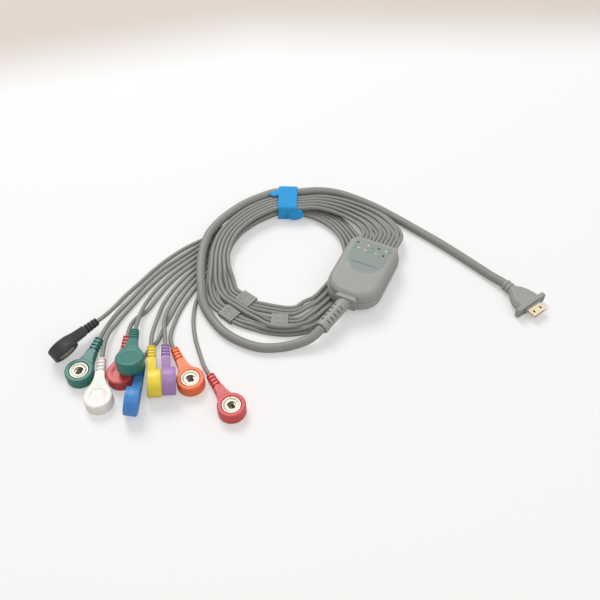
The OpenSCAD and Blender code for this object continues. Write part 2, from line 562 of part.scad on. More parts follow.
// ---- hook-and-loop tie round both layers of leads and the trunk cable
tie_round = [[40.2, 2.4, 1.3], [51.72, 2.4, 1.3], [56.4, 8.5, 3.05], [40.2, 9.05, 1.3]];
// a rounded end of the strap
module strap_end(size) {
    r = min(size) / 2 - 0.01;
    linear_extrude(tie_t)
        taut([[-size.x / 2 + r, -size.y / 2 + r, r], [size.x / 2 - r, -size.y / 2 + r, r],
            [size.x / 2 - r, size.y / 2 - r, r], [-size.x / 2 + r, size.y / 2 - r, r]], 0);
}
module cable_tie() {
    color([0.25, 0.64, 0.91]) lay() translate(ring_c) rotate([0, 0, tie_angle]) {
        translate([0, tie_w / 2, 0]) rotate([90, 0, 0]) difference() {
            union() {
                linear_extrude(tie_w) taut(tie_round, tie_t);
                linear_extrude(tie_w) intersection() {
                    taut(tie_round, 2 * tie_t);
                    translate([42, 6]) square([12, 10]);
                }
            }
            translate([0, 0, -1]) linear_extrude(tie_w + 2) taut(tie_round, 0);
        }
        translate([54.4, 7.4, 11.75]) rotate([0, 0, -8]) strap_end([4.2, 6.4]);
        translate([37.85 - tie_t, -5.3, 5.6]) rotate([0, 90, 0]) strap_end([8.2, 9.6]);
    }
}

// ---- one module per piece
module lead_red_low() lead(0);
module lead_orange() lead(1);
module lead_blue() lead(2);
module lead_violet() lead(3);
module lead_yellow() lead(4);
module lead_red_high() lead(5);
module lead_teal() lead(6);
module lead_white() lead(7);
module lead_green() lead(8);
module lead_black() lead(9);
module snap_body_red_low() snap_body(0, lead_colour[0]);
module snap_body_orange() snap_body(1, lead_colour[1]);
module snap_body_blue() snap_body(2, lead_colour[2]);
module snap_body_violet() snap_body(3, lead_colour[3]);
module snap_body_yellow() snap_body(4, lead_colour[4]);
module snap_body_red_high() snap_body(5, lead_colour[5]);
module snap_body_teal() snap_body(6, lead_colour[6]);
module snap_body_white() snap_body(7, lead_colour[7]);
module snap_body_green() snap_body(8, lead_colour[8]);
module snap_body_black() snap_body(9, lead_colour[9]);
module snap_socket_red_low() snap_socket(0);
module snap_socket_orange() snap_socket(1);
module snap_socket_blue() snap_socket(2);
module snap_socket_violet() snap_socket(3);
module snap_socket_yellow() snap_socket(4);
module snap_socket_red_high() snap_socket(5);
module snap_socket_teal() snap_socket(6);
module snap_socket_white() snap_socket(7);
module snap_socket_green() snap_socket(8);
module snap_socket_black() snap_socket(9);
module snap_spring_red_low() snap_spring(0);
module snap_spring_orange() snap_spring(1);
module snap_spring_blue() snap_spring(2);
module snap_spring_violet() snap_spring(3);
module snap_spring_yellow() snap_spring(4);
module snap_spring_red_high() snap_spring(5);
module snap_spring_teal() snap_spring(6);
module snap_spring_white() snap_spring(7);
module snap_spring_green() snap_spring(8);
module snap_spring_black() snap_spring(9);
module lead_divider_1() lead_divider(div_1);
module lead_divider_2() lead_divider(div_2);
module lead_divider_3() lead_divider(div_3);

housing_bottom();
housing_top();
label_panel();
circuit_board();
protection_resistors();
lead_grommet();
trunk_boot();
trunk_cable();
plug_overmould();
plug_shell();
plug_tongue();
plug_contacts();
lead_red_low();
lead_orange();
lead_blue();
lead_violet();
lead_yellow();
lead_red_high();
lead_teal();
lead_white();
lead_green();
lead_black();
snap_body_red_low();
snap_body_orange();
snap_body_blue();
snap_body_violet();
snap_body_yellow();
snap_body_red_high();
snap_body_teal();
snap_body_white();
snap_body_green();
snap_body_black();
snap_socket_red_low();
snap_socket_orange();
snap_socket_blue();
snap_socket_violet();
snap_socket_yellow();
snap_socket_red_high();
snap_socket_teal();
snap_socket_white();
snap_socket_green();
snap_socket_black();
snap_spring_red_low();
snap_spring_orange();
snap_spring_blue();
snap_spring_violet();
snap_spring_yellow();
snap_spring_red_high();
snap_spring_teal();
snap_spring_white();
snap_spring_green();
snap_spring_black();
lead_divider_1();
lead_divider_2();
lead_divider_3();
cable_tie();
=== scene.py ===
"""Looks of a ten-lead patient cable: a junction box, a trunk cable with its plug, ten leads with snap
connectors, three sliding dividers and a hook-and-loop tie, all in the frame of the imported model."""

from __future__ import annotations

import json
import logging
import math
import operator
from dataclasses import dataclass, field
from enum import Enum
from functools import reduce
from typing import Any, Callable, Sequence

import bmesh
import bpy
import numpy as np
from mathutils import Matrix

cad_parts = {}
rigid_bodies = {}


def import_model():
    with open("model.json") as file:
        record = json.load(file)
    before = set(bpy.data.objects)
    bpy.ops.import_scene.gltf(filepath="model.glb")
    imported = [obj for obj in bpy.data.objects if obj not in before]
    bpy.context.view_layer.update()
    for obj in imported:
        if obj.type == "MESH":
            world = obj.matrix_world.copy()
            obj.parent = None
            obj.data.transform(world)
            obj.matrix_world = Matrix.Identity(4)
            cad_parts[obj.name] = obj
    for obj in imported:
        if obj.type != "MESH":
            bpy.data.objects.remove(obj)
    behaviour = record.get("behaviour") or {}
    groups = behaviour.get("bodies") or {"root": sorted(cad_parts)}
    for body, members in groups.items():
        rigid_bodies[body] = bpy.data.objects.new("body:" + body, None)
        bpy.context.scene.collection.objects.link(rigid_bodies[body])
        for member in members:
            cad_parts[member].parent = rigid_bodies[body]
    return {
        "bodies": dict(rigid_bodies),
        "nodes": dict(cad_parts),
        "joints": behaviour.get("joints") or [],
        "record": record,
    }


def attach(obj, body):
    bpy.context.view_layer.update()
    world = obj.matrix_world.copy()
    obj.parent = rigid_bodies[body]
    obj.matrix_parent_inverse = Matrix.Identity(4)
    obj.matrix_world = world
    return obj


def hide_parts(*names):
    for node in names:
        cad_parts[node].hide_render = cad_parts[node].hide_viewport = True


log = logging.getLogger("patient_cable")
MM = 0.001
Array = np.ndarray
Placing = Callable[[Array], Array]

# Sizes and places are in millimetres, and angles in degrees. The frame puts MIDDLE at its origin.
MIDDLE = np.array([6.3, 31.0, 0.0])
RING = np.array([-9.0, 32.0, 0.0])
BOX_AT, BOX_TURN = np.array([38.0, 13.0, 4.4]), -25
PLUG_AT, PLUG_TURN = np.array([139.6, -8.2, 3.9]), -143.5
LEAD_D = 2.5
TRUNK_D = 5.6
BOX_W, BOX_L, BOX_T = 34.0, 50.0, 12.5
SEAM_Z = 6.6
BOOT_L, BOOT_TURN, BOOT_DIP = 26.0, -13, 5.7
GRIP_L = 21.8
TAIL_Y = 25.8
SNAP_T = 7.6
NECK_T = 5.2
WIRE_Z = -SNAP_T / 2 + NECK_T / 2


# ---------------------------------------------------------------- placing

def turn_x(degrees: float, v: Array) -> Array:
    """Points turned about X by an angle in degrees."""
    c, s = math.cos(math.radians(degrees)), math.sin(math.radians(degrees))
    return np.asarray(v, float) @ np.array([[1, 0, 0], [0, c, s], [0, -s, c]])


def turn_y(degrees: float, v: Array) -> Array:
    """Points turned about Y by an angle in degrees."""
    c, s = math.cos(math.radians(degrees)), math.sin(math.radians(degrees))
    return np.asarray(v, float) @ np.array([[c, 0, -s], [0, 1, 0], [s, 0, c]])


def turn_z(degrees: float, v: Array) -> Array:
    """Points turned about Z by an angle in degrees."""
    c, s = math.cos(math.radians(degrees)), math.sin(math.radians(degrees))
    return np.asarray(v, float) @ np.array([[c, s, 0], [-s, c, 0], [0, 0, 1]])


def at_box(v: Array) -> Array:
    """Junction box points, with +Y towards the leads, laid on the table."""
    return BOX_AT + turn_z(BOX_TURN, v)


def at_boot(v: Array) -> Array:
    """Boot points, with the boot running along -Y from its root, laid on the table."""
    root = np.array([0, -BOX_L / 2 + 2, BOX_T / 2])
    return at_box(root + turn_z(BOOT_TURN, turn_x(BOOT_DIP, v)))


def at_plug(v: Array) -> Array:
    """Plug points, with +Y out of the shell and the flange's front at y = 0, laid on the table."""
    return PLUG_AT + turn_z(PLUG_TURN, v)


def on_ring(angle: float, along: float, radius: float, z: float) -> Array:
    """A point of the coil: at a radius along the angle's direction, then along the tangent."""
    a = math.radians(angle)
    return (RING + radius * np.array([math.cos(a), math.sin(a), 0])
            + along * np.array([-math.sin(a), math.cos(a), 0]) + np.array([0, 0, z]))


@dataclass(frozen=True)
class Station:
    """A place round the coil that all leads pass in two layers, the even ranks above the odd ones.

    It lies at an angle and then along the tangent. The radius is that of rank 0 and step is added for each
    rank; low is the height of the odd ranks and rise is added for the even ones.
    """

    angle: float
    along: float
    radius: float
    step: float
    low: float
    rise: float

    def point(self, rank: int) -> Array:
        """The point where the lead of this rank passes."""
        z = self.low + (0.0 if rank % 2 else self.rise)
        return on_ring(self.angle, self.along, self.radius + self.step * rank, z)


@dataclass(frozen=True)
class DividerPlace:
    """Where a divider lies on the coil."""

    angle: float
    radius: float
    turn: float

    def point(self, along: float, out: float, z: float) -> Array:
        """A point beside the divider's centre: along the leads, outwards and up."""
        return on_ring(self.angle, 0, self.radius, z) + turn_z(self.angle + self.turn, [out, along, 0])


DIVIDERS = (DividerPlace(266.5, 50.3, 0), DividerPlace(235, 41.4, -4), DividerPlace(233.5, 55.95, -4))


@dataclass(frozen=True)
class SnapPlace:
    """Where a snap connector lies: its disc centre, heading of its tail, dip of the tail and roll."""

    name: str
    centre: tuple[float, float, float]
    heading: float
    dip: float
    roll: float

    def put(self, v: Array) -> Array:
        """Connector points, tail along +Y and socket along +Z, laid on the table."""
        return np.array(self.centre) + turn_z(self.heading - 90, turn_x(-self.dip, turn_y(self.roll, v)))


SNAPS = (
    SnapPlace("red_low", (-36.9, -79.6, 3.8), 121.9, 0, 0),
    SnapPlace("orange", (-60.7, -62.4, 3.8), 117.2, 0, 0),
    SnapPlace("blue", (-90.4, -78.2, 8.4), 90, 7, -80),
    SnapPlace("violet", (-72.1, -64.9, 8.2), 98.7, 5, 97),
    SnapPlace("yellow", (-79.9, -66.4, 8.2), 98.6, 4, 97),
    SnapPlace("red_high", (-100, -58.4, 3.8), 90, 0, 180),
    SnapPlace("teal", (-93.5, -56.2, 14.3), 94, 15, 180),
    SnapPlace("white", (-109.9, -74, 3.8), 95, 0, 180),
    SnapPlace("green", (-123.3, -57.1, 3.8), 75.5, 0, 0),
    SnapPlace("black", (-134.4, -43.3, 8.6), 51.9, 5, 115),
)


# ---------------------------------------------------------------- cord routes

TIE_ANGLE = 89.0
SPLIT_ANGLE, BETWEEN_ANGLE, JOIN_ANGLE = 209, 252, 288
COMB_PITCH, COMB_Z = 2.55, 5.6
CHANNEL_PITCH, CHANNEL_Z = 2.6, 2.05
# Beside a divider: how far out the nearest lead lies, how far the next, and the heights of their axes.
GAP_OUT, GAP_STEP, GAP_LOW, GAP_HIGH = 5.97, 2.45, 1.3, 3.84
INNER_OUT, INNER_Z = -12.1, 1.4
BEFORE_DIVIDERS = (
    Station(25, 0, 54, 2.35, 6.4, 1.2), Station(39, 0, 52, 2, 5.7, 1.65),
    Station(52, 0, 48.6, 1.72, 6.3, 1.95), Station(66, 0, 44.9, 1.48, 6.8, 2.15),
    *(Station(TIE_ANGLE, s, 40.2, 1.28, 6.85, 2.2) for s in (-7, 0, 7)),
    Station(109, 0, 39.4, 1.27, 6.6, 2.2), Station(121, 0, 38.2, 1.27, 6.3, 2.2),
    Station(133, 0, 37.2, 1.27, 6, 2.2), Station(146, 0, 36.7, 1.27, 5.8, 2.2),
    Station(160, 0, 36.5, 1.27, 5.3, 2.2), Station(173, 0, 36.5, 1.27, 4.3, 2.2),
    Station(186, 0, 36.6, 1.29, 3.95, 2.2), Station(197, 0, 36.7, 1.5, 3.85, 2.15),
)
AFTER_DIVIDERS = (
    Station(298, 0, 36.6, 2.07, 1.35, 1.5), Station(312, 0, 34.2, 2.07, 1.35, 1.5),
    Station(327, 0, 33.2, 2.07, 1.35, 1.5), Station(343, 0, 34.6, 2, 1.35, 1.55),
    Station(358, 0, 36.8, 1.9, 1.35, 1.65), Station(13, 0, 38.6, 1.55, 1.35, 2),
    Station(28, 0, 39.8, 1.3, 1.35, 2.2), Station(43, 0, 40.7, 1.27, 1.35, 2.2),
    Station(58, 0, 41.2, 1.27, 1.6, 2.2), Station(70, 0, 41.2, 1.27, 2.1, 2.2),
    *(Station(TIE_ANGLE, s, 40.2, 1.28, 2.4, 2.2) for s in (-7, 0, 7)),
    Station(109, 0, 39.4, 1.27, 1.9, 2.2), Station(121, 0, 38.2, 1.27, 1.5, 2.2),
    Station(133, 0, 37.3, 1.32, 1.35, 2.2), Station(146, 0, 37, 1.66, 1.35, 1.98),
    Station(160, 0, 37.2, 2.15, 1.35, 1.48),
)
# Where each lead passes as (radius, height): at the split, between the dividers and at the join.
SPLIT = ((37.2, 3.9), (39.7, 2.6), (42.2, 3.9), (44.6, 2.2), (45.8, 4.55), (47.4, 2.2), (48.5, 4.6),
         (50.8, 2.5), (53, 3.95), (55.5, 2.5))
BETWEEN = ((38.6, 1.6), (41.2, 1.6), (43.8, 1.6), (47.2, 1.35), (49, 3.35), (51.6, 1.9), (52.8, 4.7),
           (55, 1.5), (57, 3.4), (58.9, 1.5))
JOIN = ((37.3, 2.6), (39.9, 1.35), (42.4, 2.6), (45.7, 1.35), (48.2, 2.8), (50.7, 1.35), (52.9, 3.4),
        (54.9, 1.35), (56.8, 3.3), (58.6, 1.35))
# Where the last four leads pass the first divider, as (outwards, height).
BESIDE = ((6, 5.9), (6, 1.35), (7.4, 3.5), (8.8, 1.35))
# From the coil to each connector, on the table.
TAILS = (
    ((-46.6, 37.3, 1.35), (-53.2, 24, 1.35), (-59.5, 10.5, 1.35), (-63.3, -3, 1.35), (-63.7, -16, 1.35),
     (-61.7, -29, 1.35), (-58, -41, 1.35)),
    ((-49.4, 37.7, 1.35), (-61, 15, 1.35), (-66.8, 4, 1.35), (-71, -6, 1.35), (-74, -16, 1.35)),
    ((-52.2, 38.1, 1.35), (-63, 18.6, 1.35), (-69.2, 7.8, 1.35), (-73.8, -2.5, 1.35), (-77, -12, 1.35),
     (-80.3, -22, 1.35), (-82.5, -32, 2)),
    ((-55, 38.5, 1.35), (-64.8, 21.7, 1.35), (-71.3, 11.3, 1.35), (-76.5, 0.5, 1.5), (-79.3, -10, 2.8),
     (-80.3, -19, 4.1)),
    ((-57.7, 38.8, 1.35), (-65.5, 26.4, 1.35), (-72.8, 16.2, 1.35), (-79, 5.5, 1.35), (-83, -5, 1.9),
     (-84.6, -16, 3.4)),
    ((-60.5, 39.2, 1.35), (-66, 30.8, 1.35), (-75, 20.5, 1.35), (-82.3, 10, 1.35), (-87.8, -1, 1.35),
     (-92.6, -10.5, 1.5), (-98, -17.5, 2.9)),
    ((-66.7, 35, 1.35), (-76, 25, 1.35), (-84.5, 14, 1.35), (-90.7, 2.5, 2.1), (-94, -9, 4.1),
     (-95.4, -17.5, 5)),
    ((-67.2, 39.5, 1.35), (-77, 29.6, 1.35), (-86.5, 18.8, 1.35), (-94.5, 7.2, 1.35), (-102, -6, 1.35),
     (-108.6, -19, 1.8), (-112, -29.5, 4)),
    ((-66.8, 44, 1.35), (-77.5, 34, 1.35), (-88, 23, 1.35), (-96.5, 11, 1.35), (-104, -2, 1.35),
     (-110.5, -13, 1.5)),
    ((-71.5, 45, 1.35), (-82, 35.5, 1.35), (-91.5, 24.5, 1.35), (-99.5, 13, 1.35), (-107.2, 2, 1.4)),
)
# The trunk cable from the boot to the coil, round it as (angle, radius, height), and on to the plug.
TRUNK_TO_RING = ((6.5, -33.2, 5.6), (-2, -36.3, 3.8), (-12, -38.2, 2.9), (-22.5, -38.3, 2.85),
                 (-33.5, -34.5, 2.85), (-44, -27.5, 2.85), (-52.5, -17, 2.9), (-59, -4.5, 4.6))
TRUNK_ON_RING = ((207, 57.8, 5.6), (194, 54.6, 5.7), (182, 53.4, 5.7), (170, 53.2, 6.1), (158, 53.1, 7.1),
                 (146, 52.7, 7.3), (134, 52.6, 7.7), (122, 53.3, 8.1), (110, 54.4, 8.5))
TRUNK_TO_PLUG = ((3.5, 89.3, 8.2), (13, 90.9, 7.4), (25.5, 89.8, 6.4), (38.5, 85.2, 5), (51.5, 78.2, 3.8),
                 (64, 69, 3), (77, 57.8, 2.85), (89.5, 46.8, 2.85), (101, 35.8, 2.85), (112, 24.6, 2.9),
                 (119.5, 16.6, 3.3))


def divided(rank: int) -> list[Array]:
    """The points of a lead from where the bundle splits for the dividers to where it joins again.

    Args:
        rank: the lead's place in the comb, 0 to 9.

    Returns:
        The points in order.
    """
    first, second, third = DIVIDERS
    place, lane = second, ((rank - 1) * CHANNEL_PITCH, CHANNEL_Z)
    if rank > 6:
        place, lane = third, ((rank - 8) * CHANNEL_PITCH, CHANNEL_Z)
    elif rank > 2:
        # Four leads lie in two stacks of two in the gap between the second divider and the third.
        lane = (GAP_OUT + GAP_STEP * ((rank - 3) // 2), GAP_LOW if rank % 2 else GAP_HIGH)
    points = [on_ring(SPLIT_ANGLE, 0, *SPLIT[rank])]
    points += [place.point(s, *lane) for s in (-9.6, -7.4, 0, 6)]
    points += [on_ring(BETWEEN_ANGLE, 0, *BETWEEN[rank])]
    if rank < 3:
        lane, stations = (CHANNEL_PITCH * rank + INNER_OUT, INNER_Z), (-5, 9)
    elif rank < 6:
        lane, stations = ((rank - 4) * CHANNEL_PITCH, CHANNEL_Z), (-6, 0, 6, 10)
    else:
        lane, stations = BESIDE[rank - 6], (-6, 9)
    points += [first.point(s, *lane) for s in stations]
    return points + [on_ring(JOIN_ANGLE, 0, *JOIN[rank])]


def lead_route(rank: int) -> Array:
    """The points of a lead from inside the junction box to inside its snap connector's tail.

    Args:
        rank: the lead's place in the comb, 0 to 9.

    Returns:
        The points, one row each.
    """
    x, front = (rank - 4.5) * COMB_PITCH, BOX_L / 2
    points = [at_box([x, front - 0.5, COMB_Z]), at_box([x, front + 1.5, COMB_Z]),
              at_box([x, front + 6, COMB_Z - 0.2])]
    if rank > 2:
        drop = 2 if rank % 2 else 1.2
        points.append(at_box([x - 0.25 - 0.06 * rank, front + 8.5 + 0.95 * rank, COMB_Z - drop]))
    points += [s.point(rank) for s in BEFORE_DIVIDERS] + divided(rank)
    points += [s.point(rank) for s in AFTER_DIVIDERS]
    points += [np.array(p, float) for p in TAILS[rank]]
    points += [SNAPS[rank].put([0, TAIL_Y + 5, WIRE_Z]), SNAPS[rank].put([0, TAIL_Y - 2, WIRE_Z])]
    return np.array(points)


def trunk_route() -> Array:
    """The points of the trunk cable from inside the boot to inside the plug's grip."""
    return np.array([at_boot([0, -BOOT_L + 2, 0]), at_boot([0, -BOOT_L, 0]),
                     *map(np.array, TRUNK_TO_RING), *(on_ring(a, 0, r, z) for a, r, z in TRUNK_ON_RING),
                     *(on_ring(TIE_ANGLE, s, 56.4, 8.5) for s in (7.5, 0, -7.5)),
                     *map(np.array, TRUNK_TO_PLUG),
                     at_plug([0, -GRIP_L, 0]), at_plug([0, -GRIP_L + 1.5, 0])])


def smooth(points: Array, step: float) -> Array:
    """A curve through the points, sampled about every step millimetres.

    Each span is a cubic with the tangents at its two ends. A tangent is the mean of the two slopes that
    meet at the point, each weighted by the other span's length, and the height's slope is the harmonic
    mean of the two or level where they differ in sign, so the cord never dips between two points.

    Args:
        points: the route, one row per point.
        step: the distance between two samples.

    Returns:
        The samples, one row each.
    """
    gap = np.linalg.norm(np.diff(points, axis=0), axis=1)
    slope = np.diff(points, axis=0) / gap[:, None]
    before, after = slope[:-1], slope[1:]
    mean = (before * gap[1:, None] + after * gap[:-1, None]) / (gap[1:] + gap[:-1])[:, None]
    rise, product = before[:, 2] + after[:, 2], before[:, 2] * after[:, 2]
    mean[:, 2] = np.where(product > 0, 2 * product / np.where(rise == 0, 1, rise), 0)
    tangent = np.vstack([slope[:1], mean, slope[-1:]])
    count = np.maximum(1, np.round(gap / step)).astype(int)
    span = np.repeat(np.arange(len(gap)), count)
    u = ((np.arange(len(span)) - np.repeat(np.cumsum(count) - count, count)) / count[span])[:, None]
    d = gap[span][:, None]
    curve = ((2 * u**3 - 3 * u**2 + 1) * points[span] + (u**3 - 2 * u**2 + u) * d * tangent[span]
             + (3 * u**2 - 2 * u**3) * points[span + 1] + (u**3 - u**2) * d * tangent[span + 1])
    return np.vstack([curve, points[-1:]])


# ---------------------------------------------------------------- surfaces

@dataclass
class Surface:
    """Points in millimetres with faces over them."""

    points: Array
    faces: list[tuple[int, ...]]

    def __add__(self, other: Surface) -> Surface:
        """Both surfaces as one."""
        n = len(self.points)
        return Surface(np.vstack([self.points, other.points]),
                       self.faces + [tuple(i + n for i in f) for f in other.faces])

    @staticmethod
    def of(parts: Sequence[Surface]) -> Surface:
        """Several surfaces as one."""
        return reduce(operator.add, parts)

    def moved(self, put: Placing) -> Surface:
        """The same faces with every point put through a placing function."""
        return Surface(np.asarray(put(self.points)), self.faces)

    def mesh(self, name: str) -> bpy.types.Mesh:
        """The surface as a mesh, in metres about the frame's origin.

        Args:
            name: the mesh's name.

        Returns:
            The mesh.
        """
        mesh = bpy.data.meshes.new(name)
        mesh.from_pydata(((self.points - MIDDLE) * MM).tolist(), [], self.faces)
        mesh.update()
        return mesh


def volume(points: Array, faces: Sequence[tuple[int, ...]]) -> float:
    """Six times the volume that the faces enclose: the sum of a . (b x c) over their triangles.

    Args:
        points: the corners.
        faces: the faces, as corner numbers.

    Returns:
        The sum, above zero where the faces point outwards.
    """
    tri = np.array([(f[0], f[i], f[i + 1]) for f in faces for i in range(1, len(f) - 1)])
    a, b, c = points[tri[:, 0]], points[tri[:, 1]], points[tri[:, 2]]
    return float(np.einsum("ij,ij->i", a, np.cross(b, c)).sum())


def loft(rings: Array, ring_closed: bool = False, caps: bool = True) -> Surface:
    """A skin over rings of points, each ring closed on itself.

    Point (i, j) is the j-th point of ring i. Each four neighbours make a face, and where the rings don't
    close into a loop the first and the last ring are closed by a fan to their middle.

    Args:
        rings: an array of rings by points by three.
        ring_closed: the last ring joins the first.
        caps: the two ends are closed.

    Returns:
        The surface, with its faces outwards where it is closed.
    """
    m, n = rings.shape[:2]
    points = rings.reshape(-1, 3)
    i, j = np.meshgrid(np.arange(m if ring_closed else m - 1), np.arange(n), indexing="ij")
    k = (i + 1) % m
    quads = np.stack([i * n + j, i * n + (j + 1) % n, k * n + (j + 1) % n, k * n + j], -1).reshape(-1, 4)
    faces = [tuple(q) for q in quads.tolist()]
    if caps and not ring_closed:
        points = np.vstack([points, rings[0].mean(0), rings[-1].mean(0)])
        ring, top = np.arange(n), (m - 1) * n
        ahead = (ring + 1) % n
        first = np.stack([np.full(n, m * n), ahead, ring], -1)
        last = np.stack([np.full(n, m * n + 1), top + ring, top + ahead], -1)
        faces += [tuple(f) for f in np.vstack([first, last]).tolist()]
    if (caps or ring_closed) and volume(points, faces) < 0:
        faces = [f[::-1] for f in faces]
    return Surface(points, faces)


def rounded(corners: Sequence[tuple[float, float, float]], steps: int = 5) -> Array:
    """A line through corners (x, y, fillet), each corner swapped for a curve.

    The curve runs from a point before the corner to one after it, both at the fillet's distance but no
    more than half the way to the next corner: (1 - t)^2 a + 2 t (1 - t) corner + t^2 b.

    Args:
        corners: points with the reach of their fillets, 0 for a sharp one.
        steps: the number of pieces in each curve.

    Returns:
        The line's points, two columns.
    """
    line = np.array(corners, float)
    out = [line[:1, :2]]
    t = np.linspace(0, 1, steps + 1)[:, None]
    for before, here, after in zip(line[:-2], line[1:-1], line[2:]):
        if here[2] == 0:
            out.append(here[None, :2])
            continue
        back, ahead = before[:2] - here[:2], after[:2] - here[:2]
        lb, la = np.linalg.norm(back), np.linalg.norm(ahead)
        a = here[:2] + back / lb * min(here[2], lb / 2.01)
        b = here[:2] + ahead / la * min(here[2], la / 2.01)
        out.append((1 - t) ** 2 * a + 2 * t * (1 - t) * here[:2] + t**2 * b)
    return np.vstack([*out, line[-1:, :2]])


def round_turn(count: int) -> Array:
    """The angles in radians of count points round a full turn."""
    return np.arange(count) * 2 * math.pi / count


def squared(wave: Array, power: float) -> Array:
    """A sine or cosine raised to a power with its sign kept, which makes a superellipse of a circle."""
    return np.sign(wave) * np.abs(wave) ** power


def circle(angle: Array, r: float, z: Array | float) -> Array:
    """Points of a level circle at the given angles: (r cos a, r sin a, z)."""
    return np.column_stack([r * np.cos(angle), r * np.sin(angle), np.broadcast_to(z, len(angle))])


def arc(cx: float, cy: float, r: float, start: float, end: float, steps: int) -> Array:
    """Points on an arc round (cx, cy) from start to end, in degrees, both ends included."""
    a = np.radians(np.linspace(start, end, steps + 1))
    return np.column_stack([cx + r * np.cos(a), cy + r * np.sin(a)])


def revolve(profile: Array, sides: int, closed: bool = False) -> Surface:
    """A profile carried round Z: the point is (r cos a, r sin a, z).

    Args:
        profile: rows of (radius, height).
        sides: the points in each ring.
        closed: the profile's last row joins its first.

    Returns:
        The surface.
    """
    a = round_turn(sides)
    r, z = profile[:, :1], profile[:, 1:]
    return loft(np.stack([r * np.cos(a), r * np.sin(a), z + 0 * a], -1), ring_closed=closed)


def tube(path: Array, radius: float, sides: int) -> Surface:
    """A round tube: each ring is path + r (cos a side + sin a up), square to the path, with side level.

    Args:
        path: the centre line, one row per ring.
        radius: the tube's radius.
        sides: the points in each ring.

    Returns:
        The surface, closed at both ends.
    """
    t = np.gradient(path, axis=0)
    t /= np.linalg.norm(t, axis=1)[:, None]
    side = np.stack([-t[:, 1], t[:, 0], 0 * t[:, 0]], -1)
    side /= np.linalg.norm(side, axis=1)[:, None]
    up = np.cross(t, side)
    a = round_turn(sides)[None, :, None]
    return loft(path[:, None, :] + radius * (np.cos(a) * side[:, None, :] + np.sin(a) * up[:, None, :]))


@dataclass(frozen=True)
class Outline:
    """A closed plan line with its outward normals; a ring is the line drawn in along them."""

    line: Array
    normal: Array

    @staticmethod
    def through(points: Array) -> Outline:
        """An outline through points, with each normal square to the chord between its neighbours.

        Args:
            points: two columns, counter-clockwise.

        Returns:
            The outline.
        """
        d = np.roll(points, -1, 0) - np.roll(points, 1, 0)
        d /= np.linalg.norm(d, axis=1)[:, None]
        return Outline(points, np.stack([d[:, 1], -d[:, 0]], -1))

    @staticmethod
    def joined(runs: Sequence[Array], steps: int) -> Outline:
        """An outline of arcs with straight lines between them.

        Args:
            runs: the arcs in order, counter-clockwise.
            steps: the pieces that each straight line is cut into.

        Returns:
            The outline.
        """
        gap = np.linspace(0, 1, steps + 1)[1:-1, None]
        line = [part for here, after in zip(runs, [*runs[1:], runs[0]])
                for part in (here, here[-1] * (1 - gap) + after[0] * gap)]
        return Outline.through(np.vstack(line))

    def ring(self, inset: Array | float, z: Array | float) -> Array:
        """The line drawn in by inset along its normals, at height z."""
        p = self.line - np.broadcast_to(np.asarray(inset, float), len(self.line))[:, None] * self.normal
        return np.column_stack([p, np.broadcast_to(z, len(p))])

    def skin(self, profile: Array) -> Surface:
        """A profile of (inset, height) carried round the line and closed over at both ends."""
        return loft(np.stack([self.ring(d, z) for d, z in profile]))


# ---------------------------------------------------------------- finishes

def linear(hex_colour: str, factor: float = 1.0, lift: float = 0.0) -> tuple[float, ...]:
    """An sRGB hex colour as linear red, green, blue and 1, darker or paler by a factor.

    Args:
        hex_colour: six hex digits.
        factor: what each channel is multiplied by.
        lift: what is then added to each channel.

    Returns:
        The four values, none above 1.
    """
    s = [int(hex_colour[i:i + 2], 16) / 255 for i in (0, 2, 4)]
    flat = [v / 12.92 if v <= 0.04045 else ((v + 0.055) / 1.055) ** 2.4 for v in s]
    return (*(min(1.0, v * factor + lift) for v in flat), 1.0)


def feed(tree: bpy.types.NodeTree, node: bpy.types.Node, inputs: dict[Any, Any]) -> None:
    """Sets a node's inputs.

    Args:
        tree: the tree that the node is in.
        node: the node.
        inputs: socket name or number to a value, or to an output socket that is linked to it.
    """
    for key, value in inputs.items():
        if isinstance(value, bpy.types.NodeSocket):
            tree.links.new(value, node.inputs[key])
        else:
            node.inputs[key].default_value = value


def add_node(tree: bpy.types.NodeTree, kind: str, inputs: dict[Any, Any] | None = None,
             **settings: Any) -> bpy.types.Node:
    """Adds a shader node with its settings and links.

    Args:
        tree: the material's or world's node tree.
        kind: the node's type, without the ShaderNode before it.
        inputs: what feed sets.
        settings: properties of the node.

    Returns:
        The node.
    """
    node = tree.nodes.new("ShaderNode" + kind)
    for key, value in settings.items():
        setattr(node, key, value)
    feed(tree, node, inputs or {})
    return node


class Recipe:
    """A material in the making: its tree, its shader and the Object coordinates."""

    def __init__(self, name: str) -> None:
        """Starts a material.

        Args:
            name: the material's name.
        """
        self.material = bpy.data.materials.new(name)
        self.material.use_nodes = True
        self.tree = self.material.node_tree
        self.shader = self.tree.nodes["Principled BSDF"]
        self.place = self.add("TexCoord").outputs["Object"]

    def add(self, kind: str, inputs: dict[Any, Any] | None = None, **settings: Any) -> bpy.types.Node:
        """Adds a node to this material, as add_node does."""
        return add_node(self.tree, kind, inputs, **settings)

    def done(self, inputs: dict[str, Any]) -> bpy.types.Material:
        """The material, with its shader's inputs set as feed sets them."""
        feed(self.tree, self.shader, inputs)
        return self.material


